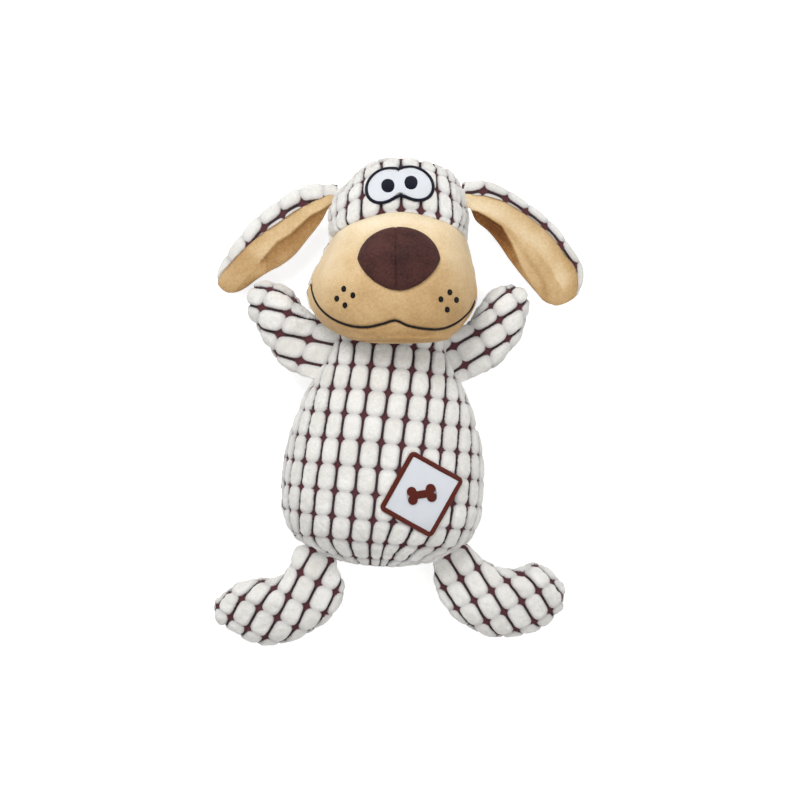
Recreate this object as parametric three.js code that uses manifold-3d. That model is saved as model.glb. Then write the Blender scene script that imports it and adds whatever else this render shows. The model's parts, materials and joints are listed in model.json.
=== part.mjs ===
// A plush toy dog lying on its back, in millimetres: +Z faces up, +Y points to the top of the head,
// and +X is the dog's own left. Every stuffed form is a row of cross-sections across a flat outline.
// The side seams of torso and head lie in one plane, and each limb bends about its root seam.

import * as THREE from 'three';
import { mergeVertices } from 'three/addons/utils/BufferGeometryUtils.js';
import Module from 'manifold-3d';

const wasm = await Module();
wasm.setup();

// Fabric and clearances
const GAP = 0.3;
const COVER = 2.2;
const ROOT_EDGE = 1.5;
const OVERRUN = 12;
const TABLE_CUT = 0.5;
const FULLNESS = 2.3;
const THIN_SHARE = 0.25;
const LIMB_STUFFING_START_SHARE = 0.085;
const WELD = 1e-5;

// Torso
const TORSO_LENGTH = 123.5;
const TORSO_WIDTH = 109;
const BELLY_DEPTH = 39;
const BACK_DEPTH = 27.5;
const TORSO_LEAN = THREE.MathUtils.degToRad(-3);

// Raised cells of the belly's plush: how far their tops, edges and corners lie under the form
const CELL_WIDTH = 11.2;
const CELL_HEIGHT = 14;
const CELL_TOP_DEPTH = 0.25;
const CELL_EDGE_DEPTH = 1.35;
const CELL_CORNER_DEPTH = 1.75;
const CELL_MARGIN = 4.5;
const CELL_LEAN = THREE.MathUtils.degToRad(4);

// Neck: a rounded end of the torso that the head turns on
const NECK_WIDTH = 56;
const NECK_THICKNESS = 34;
const NECK_TO_TORSO = 2.2;
const NECK_CLEARANCE = 0.5;

// Head
const HEAD_WIDTH = 91;
const HEAD_HEIGHT = 101.5;
const MUZZLE_DEPTH = 57;
const NAPE_DEPTH = 27.5;
const HEAD_SHIFT = 3.2;
const CHIN_DROP = 7.5;
const HEAD_CUT_RISE = 5;
const HEAD_CUT_REACH = 90;

// Face
const NOSE_WIDTH = 43.5;
const NOSE_RISE = 16;
const NOSE_DROP = 17.5;
const NOSE_STAND = 1.4;
const EYE_LOBE_WIDTH = 21.4;
const EYE_LOBE_HEIGHT = 20.8;
const EYE_SPACING = 16.6;
const EYE_TILT = THREE.MathUtils.degToRad(5);
const EYE_THICKNESS = 0.9;
const EYE_OUTLINE_WIDTH = 1.7;
const PUPIL_WIDTH = 7;
const PUPIL_SPACING = 12.4;
const PUPIL_THICKNESS = 0.7;
const MOUTH_THREAD = 1.4;
const THREAD_HEIGHT = 0.8;
const WHISKER_WIDTH = 2.6;

// Ears
const EAR_REACH = 68;
const EAR_THICKNESS = 6.4;
const EAR_SLOPE = THREE.MathUtils.degToRad(19);

// Arms and legs
const RIGHT_ARM_HEADING = THREE.MathUtils.degToRad(159);
const LEFT_ARM_HEADING = THREE.MathUtils.degToRad(24);
const RIGHT_LEG_HEADING = THREE.MathUtils.degToRad(-105);
const LEFT_LEG_HEADING = THREE.MathUtils.degToRad(-60);
const ARM_REACH = 52;
const ARM_THICKNESS = 26;
const ARM_SLOPE = THREE.MathUtils.degToRad(20);
const LEG_REACH = 57;
const LEG_THICKNESS = 30;
const LEG_SLOPE = THREE.MathUtils.degToRad(16.5);

// Patch on the belly
const PATCH_WIDTH = 31.8;
const PATCH_HEIGHT = 35.5;
const PATCH_TURN = THREE.MathUtils.degToRad(-26.3);
const PATCH_EDGE = 2.6;
const PATCH_THICKNESS = 0.9;
const PATCH_EDGE_THICKNESS = 1.5;
const BONE_LENGTH = 15;
const BONE_SHAFT = 4;
const BONE_KNOB = 5;
const BONE_THICKNESS = 0.7;
const BONE_TURN = THREE.MathUtils.degToRad(38);

// Squeaker
const SQUEAKER_DIAMETER = 40;
const SQUEAKER_HEIGHT = 24;
const SQUEAKER_WALL = 1.4;
const SQUEAKER_MOUTH = 12;
const PLUG_FLANGE = 16;
const PLUG_FLANGE_HEIGHT = 1.6;
const PLUG_LENGTH = 8;
const PLUG_BORE = 4;
const REED_LENGTH = 6;
const REED_THICKNESS = 0.5;
const SQUEAKER_SLIT = 9;
const SQUEAKER_SIDES = 16;

// Derived places
const SEAM_HEIGHT = BACK_DEPTH - TABLE_CUT;
const HALF = 0.5;
const SEAM_SAMPLES = 24;
const ROOT_ROOM = ROOT_EDGE + GAP;

// Torso sections from the bottom to the neck: place along, half width, front depth and back depth.
const TORSO_SHARES = [
  [0, 0, 0, 0],
  [0.052, 0.59, 0.58, 0.6],
  [0.096, 0.8, 0.75, 0.78],
  [0.143, 0.905, 0.86, 0.89],
  [0.213, 0.975, 0.94, 0.97],
  [0.283, 0.995, 0.98, 1],
  [0.352, 1, 1, 1],
  [0.457, 0.99, 0.99, 1],
  [0.561, 0.95, 0.94, 0.98],
  [0.665, 0.88, 0.86, 0.93],
  [0.735, 0.825, 0.79, 0.88],
  [0.804, 0.745, 0.71, 0.82],
  [0.878, 0.67, 0.62, 0.75],
  [0.943, 0.6, 0.54, 0.69],
  [1, 0.54, 0.46, 0.63],
];

// Head sections from chin to crown: place along, half width to the dog's right and left, front depth,
// back depth, and how far the middle of the section is lifted to the front (a share of muzzle depth).
const HEAD_SHARES = [
  [0, 0, 0, 0, 0, 0.54],
  [0.021, 0.44, 0.52, 0.22, 0.5, 0.5],
  [0.063, 0.72, 0.69, 0.4, 0.9, 0.42],
  [0.116, 0.88, 0.8, 0.56, 1.15, 0.31],
  [0.185, 1.0, 0.9, 0.71, 1.25, 0.21],
  [0.249, 1.05, 0.95, 0.82, 1.22, 0.13],
  [0.328, 1.05, 0.95, 0.9, 1.14, 0.08],
  [0.45, 0.93, 0.9, 0.94, 1.08, 0.04],
  [0.508, 0.86, 0.86, 0.89, 1.03, 0.02],
  [0.566, 0.8, 0.84, 0.8, 1, 0],
  [0.63, 0.81, 0.85, 0.69, 1, 0],
  [0.698, 0.82, 0.86, 0.58, 1, 0],
  [0.804, 0.77, 0.82, 0.52, 0.98, 0],
  [0.857, 0.63, 0.77, 0.48, 0.92, 0],
  [0.926, 0.5, 0.66, 0.38, 0.76, 0],
  [0.963, 0.37, 0.52, 0.28, 0.56, 0],
  [1, 0, 0, 0, 0, 0],
];

// Limb outlines as pairs of edge points (out from the root, across to the dog's left or right) and the
// half thickness there. Places are shares of the limb's reach, thickness shares of its full thickness.
// The raised cells: where a cell's flat top begins, and where the first column and row begin.
const CELL_TOP_SHARE = 0.24;
const CELL_START_SHARES = [0.2, 0.29];

const RIGHT_LEG_SHARES = [
  [0, -0.25, 0, 0.25, 0.05],
  [0.13, -0.25, 0.14, 0.32, 0.18],
  [0.21, -0.26, 0.31, 0.33, 0.3],
  [0.28, -0.3, 0.5, 0.28, 0.4],
  [0.33, -0.36, 0.66, 0.17, 0.465],
  [0.37, -0.47, 0.82, 0.02, 0.5],
  [0.44, -0.58, 0.93, -0.17, 0.5],
  [0.51, -0.68, 0.97, -0.36, 0.475],
  [0.6, -0.75, 0.95, -0.52, 0.4],
  [0.69, -0.78, 0.91, -0.65, 0.29],
  [0.81, -0.78, 0.81, -0.78, 0],
];
const LEFT_LEG_SHARES = [
  [0, 0.25, 0, -0.25, 0.05],
  [0.11, 0.28, 0.13, -0.24, 0.17],
  [0.22, 0.33, 0.29, -0.23, 0.3],
  [0.31, 0.4, 0.47, -0.21, 0.4],
  [0.36, 0.48, 0.66, -0.12, 0.465],
  [0.4, 0.61, 0.85, 0.02, 0.5],
  [0.43, 0.72, 0.95, 0.23, 0.5],
  [0.52, 0.79, 1, 0.41, 0.475],
  [0.62, 0.83, 1, 0.57, 0.4],
  [0.72, 0.84, 0.94, 0.71, 0.29],
  [0.84, 0.81, 0.84, 0.81, 0],
];
const RIGHT_ARM_SHARES = [
  [0, 0.21, 0, -0.21, 0.058],
  [0.1, 0.22, 0.09, -0.26, 0.15],
  [0.22, 0.22, 0.19, -0.33, 0.26],
  [0.38, 0.18, 0.28, -0.39, 0.39],
  [0.56, 0.08, 0.36, -0.45, 0.47],
  [0.75, -0.04, 0.45, -0.5, 0.5],
  [0.88, -0.14, 0.52, -0.53, 0.5],
  [0.94, -0.22, 0.6, -0.56, 0.465],
  [0.98, -0.31, 0.71, -0.56, 0.4],
  [0.97, -0.4, 0.82, -0.53, 0.28],
  [0.92, -0.48, 0.92, -0.48, 0],
];
const LEFT_ARM_SHARES = [
  [0, 0.21, 0, -0.21, 0.058],
  [0.1, 0.26, 0.12, -0.21, 0.15],
  [0.21, 0.32, 0.25, -0.21, 0.26],
  [0.3, 0.38, 0.37, -0.18, 0.39],
  [0.38, 0.43, 0.52, -0.12, 0.47],
  [0.46, 0.48, 0.69, -0.02, 0.5],
  [0.54, 0.53, 0.81, 0.1, 0.5],
  [0.62, 0.57, 0.9, 0.21, 0.465],
  [0.72, 0.58, 0.95, 0.31, 0.4],
  [0.82, 0.55, 0.95, 0.41, 0.28],
  [0.9, 0.5, 0.9, 0.5, 0],
];

// Ear outlines in the same way, and how far across each pair the lining begins.
const RIGHT_EAR_SHARES = [
  [0, -0.06, 0, 0.06, 0.23, 0.93],
  [0.12, -0.06, 0.09, 0.2, 0.4, 0.5],
  [0.29, -0.02, 0.21, 0.36, 0.5, 0.38],
  [0.46, 0.06, 0.33, 0.47, 0.5, 0.37],
  [0.62, 0.15, 0.45, 0.54, 0.5, 0.36],
  [0.75, 0.26, 0.56, 0.58, 0.5, 0.36],
  [0.85, 0.36, 0.67, 0.63, 0.5, 0.34],
  [0.93, 0.46, 0.76, 0.68, 0.48, 0.28],
  [0.98, 0.54, 0.84, 0.71, 0.42, 0.15],
  [1, 0.61, 0.91, 0.71, 0.32, 0.05],
  [0.98, 0.67, 0.98, 0.67, 0, 0],
];
const LEFT_EAR_SHARES = [
  [0, 0.08, 0, -0.08, 0.23, 0.9],
  [0.12, 0.08, 0.07, -0.19, 0.4, 0.42],
  [0.29, 0.03, 0.17, -0.3, 0.5, 0.28],
  [0.44, -0.04, 0.27, -0.39, 0.5, 0.23],
  [0.59, -0.12, 0.36, -0.49, 0.5, 0.2],
  [0.75, -0.23, 0.46, -0.59, 0.5, 0.19],
  [0.88, -0.37, 0.56, -0.68, 0.5, 0.18],
  [0.97, -0.47, 0.64, -0.75, 0.48, 0.15],
  [1, -0.59, 0.7, -0.8, 0.42, 0.1],
  [0.98, -0.7, 0.78, -0.82, 0.32, 0.05],
  [0.9, -0.79, 0.9, -0.79, 0, 0],
];

// Where the roots sit: places along the torso's and the head's outline.
const RIGHT_ARM_ROOT_SHARE = 0.878;
const LEFT_ARM_ROOT_SHARE = 0.9;
const RIGHT_LEG_ROOT_SHARE = 0.045;
const LEFT_LEG_ROOT_SHARE = 0.062;
const EAR_ROOT_SHARE = 0.83;
const EAR_HEADING = THREE.MathUtils.degToRad(-6);

// Seams on the head: places across (from the middle) and up (from the chin) in shares of its size.
const CROWN_SEAM_SHARES = [
  [-0.6, 0.5],
  [-0.41, 0.577],
  [-0.247, 0.661],
  [0.018, 0.709],
  [0.282, 0.661],
  [0.418, 0.587],
  [0.6, 0.5],
];
const MOUTH_SHARES = [
  [-0.6, 0.39],
  [-0.507, 0.333],
  [-0.488, 0.259],
  [-0.443, 0.192],
  [-0.368, 0.138],
  [-0.271, 0.104],
  [-0.173, 0.097],
  [-0.082, 0.114],
  [-0.008, 0.131],
  [0.067, 0.104],
  [0.18, 0.087],
  [0.271, 0.091],
  [0.353, 0.124],
  [0.427, 0.185],
  [0.469, 0.246],
  [0.6, 0.32],
];
const MUZZLE_SEAM_SHARE = -0.006;
const NOSE_SHARES = [0.012, 0.469];
const NOSE_CURVE_SHARES = [0.8, 1.33, 0.84, 0.62, 0.32];
const EYE_SHARES = [0.015, 0.86];
const WHISKER_SHARES = {
  right: [
    [-0.308, 0.297],
    [-0.349, 0.247],
    [-0.255, 0.263],
    [-0.301, 0.212],
  ],
  left: [
    [0.307, 0.28],
    [0.255, 0.243],
    [0.346, 0.241],
    [0.292, 0.19],
  ],
};
const PATCH_SHARES = [0.378, 0.33];
const SQUEAKER_SHARES = [0, 0.42];

// Shaping of the head's underside: the front and back limits of the cut that clears the torso, as
// places up and out from the neck's middle, in shares of half the neck's thickness.
const HEAD_CUT_SHARES = [
  [0.3, 0.94],
  [-0.18, 1.38],
  [-0.56, 1.82],
  [-1.2, 2.4],
];

// A thickness under that cut is measured on a slant, so the cut moves by this many thicknesses.
const HEAD_CUT_OFFSET_SHARE = 1.5;

// Places round the rounded edge of a limb's root, as shares of a quarter turn.
const ROOT_EDGE_SHARES = [0.75, 0.4];

// Solids

function solidOf(geometry) {
  const plain = geometry.clone();
  plain.deleteAttribute('normal');
  plain.deleteAttribute('uv');
  const merged = mergeVertices(plain, WELD);
  return new wasm.Manifold(
    new wasm.Mesh({
      numProp: 3,
      vertProperties: new Float32Array(merged.attributes.position.array),
      triVerts: new Uint32Array(merged.index.array),
    }),
  );
}

function geometryOf(solid) {
  const mesh = solid.getMesh();
  const geometry = new THREE.BufferGeometry();
  geometry.setAttribute('position', new THREE.BufferAttribute(new Float32Array(mesh.vertProperties), 3));
  geometry.setIndex(new THREE.BufferAttribute(new Uint32Array(mesh.triVerts), 1));
  geometry.computeVertexNormals();
  return geometry;
}

function joined(...solids) {
  return solids.reduce((all, solid) => all.add(solid));
}

function prism(shape, low, high) {
  const geometry = new THREE.ExtrudeGeometry(shape, {
    depth: high - low,
    bevelEnabled: false,
    curveSegments: 7,
  });
  geometry.translate(0, 0, low);
  return solidOf(geometry);
}

function block(width, height, depth, x, y, z) {
  const geometry = new THREE.BoxGeometry(width, height, depth);
  geometry.translate(x, y, z);
  return solidOf(geometry);
}

// The part of a solid in front of the seam plane, or behind it, with half the gap left free.
function halfOf(solid, side, size) {
  return solid.intersect(block(size, size, size, 0, 0, side * (size + GAP) * HALF));
}

// Sections: a row is [middle x, middle y, half x, half y, front, back, lift].

function mixed(first, second, share) {
  return first.map((value, index) => value + (second[index] - value) * share);
}

// The row at a place between the given ones, on a smooth curve through them.
function rowAt(rows, place) {
  const index = Math.min(Math.floor(place), rows.length - 2);
  const share = place - index;
  const before = rows[Math.max(index - 1, 0)];
  const start = rows[index];
  const end = rows[index + 1];
  const after = rows[Math.min(index + 2, rows.length - 1)];
  return start.map((value, column) => {
    const pull = (end[column] - before[column]) * HALF;
    const push = (after[column] - value) * HALF;
    const rise = end[column] - value;
    const bend = 3 * rise - 2 * pull - push;
    const twist = pull + push - 2 * rise;
    return value + share * (pull + share * (bend + share * twist));
  });
}

// A rounded end: rows that close on the pole as an ellipse does.
function roundedRows(base, pole, inset, steps) {
  const distance = Math.hypot(pole[0] - base[0], pole[1] - base[1]);
  const rows = [];
  for (let step = 1; step <= steps; step += 1) {
    const angle = (step / steps) * Math.PI * HALF;
    const row = mixed(base, pole, Math.sin(angle) * (1 - inset / distance));
    for (const column of [2, 3, 4, 5]) row[column] = base[column] * Math.cos(angle);
    rows.push(row);
  }
  return rows;
}

function shrunk(row, inset) {
  if (!inset) return row;
  const less = (length) => Math.max(length - inset, length * THIN_SHARE);
  const half = Math.hypot(row[2], row[3]);
  const share = less(half) / half;
  return [row[0], row[1], row[2] * share, row[3] * share, less(row[4]), less(row[5]), row[6]];
}

// All sections of a form, from its start to its end, each set in by the inset.
function sectionsOf(rows, { steps, inset = 0, start = 0, end = 0, poleStart, poleEnd, cap = 3 }) {
  const first = poleStart ? 1 : start;
  const last = rows.length - 1 - (poleEnd ? 1 : end);
  const sections = [];
  for (let step = 0; step <= steps; step += 1) {
    sections.push(shrunk(rowAt(rows, first + ((last - first) * step) / steps), inset));
  }
  if (poleStart) sections.unshift(...roundedRows(sections[0], rows[0], inset, cap).reverse());
  if (poleEnd) {
    const pole = rows[rows.length - 1];
    sections.push(...roundedRows(sections[sections.length - 1], pole, inset, cap));
  }
  return sections;
}

// A point of a section, at an angle from its side over its front.
function ovalPoint(row, angle) {
  const across = Math.sign(Math.cos(angle)) * Math.abs(Math.cos(angle)) ** (2 / FULLNESS);
  const rise = Math.sign(Math.sin(angle)) * Math.abs(Math.sin(angle)) ** (2 / FULLNESS);
  const depth = rise > 0 ? row[4] : row[5];
  return [row[0] + row[2] * across, row[1] + row[3] * across, row[6] + depth * rise];
}

// The closed skin over a list of sections, each a full oval of the given number of points.
function skinOf(sections, points) {
  const positions = [];
  const rings = sections.map((row) => {
    const ring = [];
    const pole = Math.hypot(row[2], row[3]) < GAP * HALF;
    for (let point = 0; point < (pole ? 1 : points); point += 1) {
      ring.push(positions.length / 3);
      const place = pole ? [row[0], row[1], row[6]] : ovalPoint(row, (point / points) * Math.PI * 2);
      positions.push(...place);
    }
    return ring;
  });
  const faces = [];
  const corner = (ring, point) => ring[point % ring.length];
  for (let index = 0; index + 1 < rings.length; index += 1) {
    const near = rings[index];
    const far = rings[index + 1];
    for (let point = 0; point < points; point += 1) {
      if (near.length > 1) faces.push(corner(near, point), corner(near, point + 1), corner(far, point));
      if (far.length > 1) faces.push(corner(near, point + 1), corner(far, point + 1), corner(far, point));
    }
  }
  closeEnd(rings[0], true, sections[0], positions, faces);
  closeEnd(rings[rings.length - 1], false, sections[sections.length - 1], positions, faces);
  return outward(positions, faces);
}

function closeEnd(ring, isStart, row, positions, faces) {
  if (ring.length === 1) return;
  const middle = positions.length / 3;
  positions.push(row[0], row[1], row[6]);
  for (let point = 0; point < ring.length; point += 1) {
    const next = ring[(point + 1) % ring.length];
    if (isStart) faces.push(middle, next, ring[point]);
    else faces.push(middle, ring[point], next);
  }
}

function outward(positions, faces) {
  const geometry = new THREE.BufferGeometry();
  geometry.setAttribute('position', new THREE.Float32BufferAttribute(positions, 3));
  let volume = 0;
  const corners = [new THREE.Vector3(), new THREE.Vector3(), new THREE.Vector3()];
  for (let face = 0; face < faces.length; face += 3) {
    corners.forEach((corner, index) => corner.fromArray(positions, faces[face + index] * 3));
    volume += corners[0].dot(corners[1].clone().cross(corners[2]));
  }
  if (volume < 0) {
    for (let face = 0; face < faces.length; face += 3) {
      [faces[face], faces[face + 1]] = [faces[face + 1], faces[face]];
    }
  }
  geometry.setIndex(faces);
  return geometry;
}

// A skin moved out along its normals, or in by a negative distance, which each point can have its own.
function grown(geometry, distance) {
  const copy = geometry.clone();
  copy.computeVertexNormals();
  const places = copy.attributes.position;
  const normals = copy.attributes.normal;
  for (let index = 0; index < places.count; index += 1) {
    const far = Array.isArray(distance) ? distance[index] : distance;
    places.setXYZ(
      index,
      places.getX(index) + normals.getX(index) * far,
      places.getY(index) + normals.getY(index) * far,
      places.getZ(index) + normals.getZ(index) * far,
    );
  }
  return copy;
}

// Raised cells

// The value at a place on a line of rising places, straight between them.
function valueAt(place, places, values) {
  const found = places.findIndex((each) => each >= place);
  if (found < 1) return found < 0 ? values[values.length - 1] : values[0];
  const share = (place - places[found - 1]) / (places[found] - places[found - 1]);
  return values[found - 1] + (values[found] - values[found - 1]) * share;
}

// Where points lie along rows or columns of cells: on each cell's edge and at both ends of its top.
function cellMarks(size, startShare, low, high) {
  const marks = [];
  for (let cell = Math.floor(low / size) - 1; cell * size < high; cell += 1) {
    for (const share of [0, CELL_TOP_SHARE, 1 - CELL_TOP_SHARE]) {
      const place = (cell + startShare + share) * size;
      if (place > low && place < high) marks.push({ place, onEdge: share === 0 });
    }
  }
  return marks;
}

// Distances down the middle of the front, from the last row to the one next to the pole.
function frontLine(rows, steps) {
  const line = { places: [], runs: [] };
  let before;
  let run = 0;
  for (let step = 0; step <= steps; step += 1) {
    const place = rows.length - 1 - ((rows.length - 2) * step) / steps;
    const row = rowAt(rows, place);
    if (before) run += Math.hypot(row[1] - before[1], row[4] - before[4]);
    before = row;
    line.places.push(place);
    line.runs.push(run);
  }
  return line;
}

// Distances round the front of a section, from its side at angle zero.
function roundLine(row, steps) {
  const line = { angles: [0], runs: [0] };
  let before = ovalPoint(row, 0);
  for (let step = 1; step <= steps; step += 1) {
    const angle = (step / steps) * Math.PI;
    const point = ovalPoint(row, angle);
    line.angles.push(angle);
    line.runs.push(line.runs[step - 1] + Math.hypot(...point.map((value, axis) => value - before[axis])));
    before = point;
  }
  return line;
}

// A torso's skin whose front has its points on the edges and tops of the cells. The back is plain.
// The depths say how far each point is sunk, so that the cells stand up between their edges.
function quiltedSkin(rows, backPoints) {
  const positions = [];
  const depths = [];
  const add = (place, depth) => {
    positions.push(...place);
    depths.push(depth);
    return depths.length - 1;
  };
  const roundSteps = 48;
  const line = frontLine(rows, rows.length * 8);
  const length = line.runs[line.runs.length - 1];
  const columns = cellMarks(CELL_WIDTH, CELL_START_SHARES[0], -TORSO_WIDTH, TORSO_WIDTH).reverse();
  const ringOf = (row, run, onEdge) => {
    const round = roundLine(row, roundSteps);
    const half = round.runs[roundSteps * HALF];
    const first = add(ovalPoint(row, 0), 0);
    const far = add(ovalPoint(row, Math.PI), 0);
    const front = columns.map((mark) => {
      const across = mark.place - run * Math.tan(CELL_LEAN);
      if (Math.abs(across) > half - CELL_MARGIN) return across > 0 ? first : far;
      const angle = valueAt(half - across, round.runs, round.angles);
      const edges = Number(onEdge) + Number(mark.onEdge);
      const depth = [CELL_TOP_DEPTH, CELL_EDGE_DEPTH, CELL_CORNER_DEPTH][edges];
      return add(ovalPoint(row, angle), run < length ? depth : 0);
    });
    const back = [];
    for (let point = 1; point < backPoints; point += 1) {
      back.push(add(ovalPoint(row, Math.PI * (1 + point / backPoints)), 0));
    }
    return [first, ...front, far, ...back];
  };
  const marks = cellMarks(CELL_HEIGHT, CELL_START_SHARES[1], CELL_MARGIN, length - CELL_MARGIN);
  const rings = [{ place: 0, onEdge: false }, ...marks, { place: length, onEdge: false }].map((mark) => {
    return ringOf(rowAt(rows, valueAt(mark.place, line.runs, line.places)), mark.place, mark.onEdge);
  });
  const cap = roundedRows(rows[1], rows[0], 0, 2).slice(0, -1);
  rings.push(...cap.map((row) => ringOf(row, length, false)));
  const [pole, neck] = [rows[0], rows[rows.length - 1]].map((row) => add([row[0], row[1], row[6]], 0));

  const faces = [];
  const face = (a, b, c) => {
    if (a !== b && b !== c && a !== c) faces.push(a, b, c);
  };
  const count = rings[0].length;
  for (let point = 0; point < count; point += 1) {
    const next = (point + 1) % count;
    rings.slice(1).forEach((ring, index) => {
      face(rings[index][point], rings[index][next], ring[point]);
      face(rings[index][next], ring[next], ring[point]);
    });
    face(neck, rings[0][next], rings[0][point]);
    face(pole, rings[rings.length - 1][point], rings[rings.length - 1][next]);
  }
  return { base: outward(positions, faces), depths };
}

// Flat figures

function strokeShape(points, width, samples) {
  const curve = new THREE.SplineCurve(points);
  const sides = [[], []];
  for (let sample = 0; sample <= samples; sample += 1) {
    const place = curve.getPoint(sample / samples);
    const along = curve.getTangent(sample / samples);
    const across = new THREE.Vector2(-along.y, along.x).multiplyScalar(width * HALF);
    sides[0].push(place.clone().add(across));
    sides[1].unshift(place.clone().sub(across));
  }
  return new THREE.Shape([...sides[0], ...sides[1]]);
}

function regionShape(points, samples, far) {
  const curve = new THREE.SplineCurve(points);
  const edge = [];
  for (let sample = 0; sample <= samples; sample += 1) edge.push(curve.getPoint(sample / samples));
  return new THREE.Shape([...edge, ...far]);
}

function rectangleShape(width, height) {
  const x = width * HALF;
  const y = height * HALF;
  return new THREE.Shape([
    new THREE.Vector2(-x, -y),
    new THREE.Vector2(x, -y),
    new THREE.Vector2(x, y),
    new THREE.Vector2(-x, y),
  ]);
}

function ovalShape(width, height, x, y) {
  const shape = new THREE.Shape();
  shape.absellipse(x, y, width * HALF, height * HALF, 0, Math.PI * 2);
  return shape;
}

function turned(solid, angle, x, y) {
  const cosine = Math.cos(angle);
  const sine = Math.sin(angle);
  return solid.transform([cosine, sine, 0, 0, -sine, cosine, 0, 0, 0, 0, 1, 0, x, y, 0, 1]);
}

// Materials

function fabric(colour, roughness = 0.95) {
  return new THREE.MeshStandardMaterial({ color: colour, roughness, metalness: 0 });
}

const COLOURS = {
  plush: 0xf0eee8,
  tan: 0xdec296,
  nose: 0x4a332f,
  navy: 0x23233c,
  white: 0xf0f5fa,
  black: 0x1a1718,
  brown: 0x6b2a20,
  fibre: 0xf7f6f2,
  bulb: 0xe9e4d6,
  reed: 0xb9bcc0,
};

function piece(name, solid, colour, roughness) {
  const mesh = new THREE.Mesh(geometryOf(solid), fabric(colour, roughness));
  mesh.name = name;
  return mesh;
}

// Torso

function torsoRows() {
  return TORSO_SHARES.map(([along, half, front, back]) => [
    0,
    -NECK_TO_TORSO - TORSO_LENGTH * (1 - along),
    TORSO_WIDTH * HALF * half,
    0,
    BELLY_DEPTH * front,
    BACK_DEPTH * back,
    0,
  ]);
}

function neckForm(inset, turn = 0, steps = 16) {
  const geometry = new THREE.SphereGeometry(1, steps, steps * HALF);
  geometry.rotateZ(Math.PI * HALF);
  const radius = NECK_THICKNESS * HALF - inset;
  geometry.scale(NECK_WIDTH * HALF - inset, radius, radius);
  geometry.rotateZ(turn);
  return solidOf(geometry);
}

// What lies under the table top is cut away from the torso and the head.
function aboveTable(solid, inset = 0) {
  const size = TORSO_LENGTH + HEAD_HEIGHT;
  return solid.subtract(block(size, size * 2, size, 0, 0, -SEAM_HEIGHT - size * HALF + inset));
}

function squeakerPlace() {
  return [
    TORSO_WIDTH * HALF * SQUEAKER_SHARES[0],
    -NECK_TO_TORSO - TORSO_LENGTH * (1 - SQUEAKER_SHARES[1]),
  ];
}

// Half the squeaker bulb's outline from its mouth to its far end, at a distance from its surface.
function bulbProfile(distance) {
  const radius = SQUEAKER_DIAMETER * HALF + distance;
  const height = SQUEAKER_HEIGHT * HALF + distance;
  const start = Math.acos(SQUEAKER_MOUTH / SQUEAKER_DIAMETER);
  const steps = 7;
  const points = [];
  for (let step = 0; step <= steps; step += 1) {
    const angle = start - (step / steps) * (start + Math.PI * HALF);
    points.push(new THREE.Vector2(radius * Math.max(Math.cos(angle), 0), height * Math.sin(angle)));
  }
  return points;
}

function squeakerPieces() {
  const outer = bulbProfile(0);
  const inner = bulbProfile(-SQUEAKER_WALL);
  const profile = [...inner, ...outer.reverse(), inner[0]];
  const bulb = new THREE.LatheGeometry(profile, SQUEAKER_SIDES);

  const bore = PLUG_BORE * HALF;
  const stem = inner[0].x - GAP;
  const flange = PLUG_FLANGE * HALF;
  const seat = outer[outer.length - 1].y + GAP;
  const cap = seat + PLUG_FLANGE_HEIGHT;
  const plug = new THREE.LatheGeometry(
    [
      new THREE.Vector2(bore, cap),
      new THREE.Vector2(bore, cap - PLUG_LENGTH),
      new THREE.Vector2(stem, cap - PLUG_LENGTH),
      new THREE.Vector2(stem, seat),
      new THREE.Vector2(flange, seat),
      new THREE.Vector2(flange, cap),
      new THREE.Vector2(bore, cap),
    ],
    SQUEAKER_SIDES,
  );
  const reed = new THREE.BoxGeometry(PLUG_BORE - GAP * 3, REED_LENGTH, REED_THICKNESS);
  reed.translate(0, cap - PLUG_LENGTH * HALF, 0);
  return [
    piece('squeaker_bulb', solidOf(bulb), COLOURS.bulb, 0.5),
    piece('squeaker_plug', solidOf(plug), COLOURS.bulb, 0.45),
    piece('squeaker_reed', solidOf(reed), COLOURS.reed, 0.35),
  ];
}

// The pocket in the stuffing that the squeaker fills, flange and all.
function squeakerRoom() {
  const outer = bulbProfile(GAP);
  const rim = PLUG_FLANGE * HALF + GAP;
  const top = outer[0].y + PLUG_FLANGE_HEIGHT + GAP * 2;
  const profile = [
    new THREE.Vector2(0, top),
    new THREE.Vector2(rim, top),
    new THREE.Vector2(rim, outer[0].y - GAP),
    ...outer.slice(1),
  ];
  return solidOf(new THREE.LatheGeometry(profile.reverse(), SQUEAKER_SIDES));
}

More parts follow.
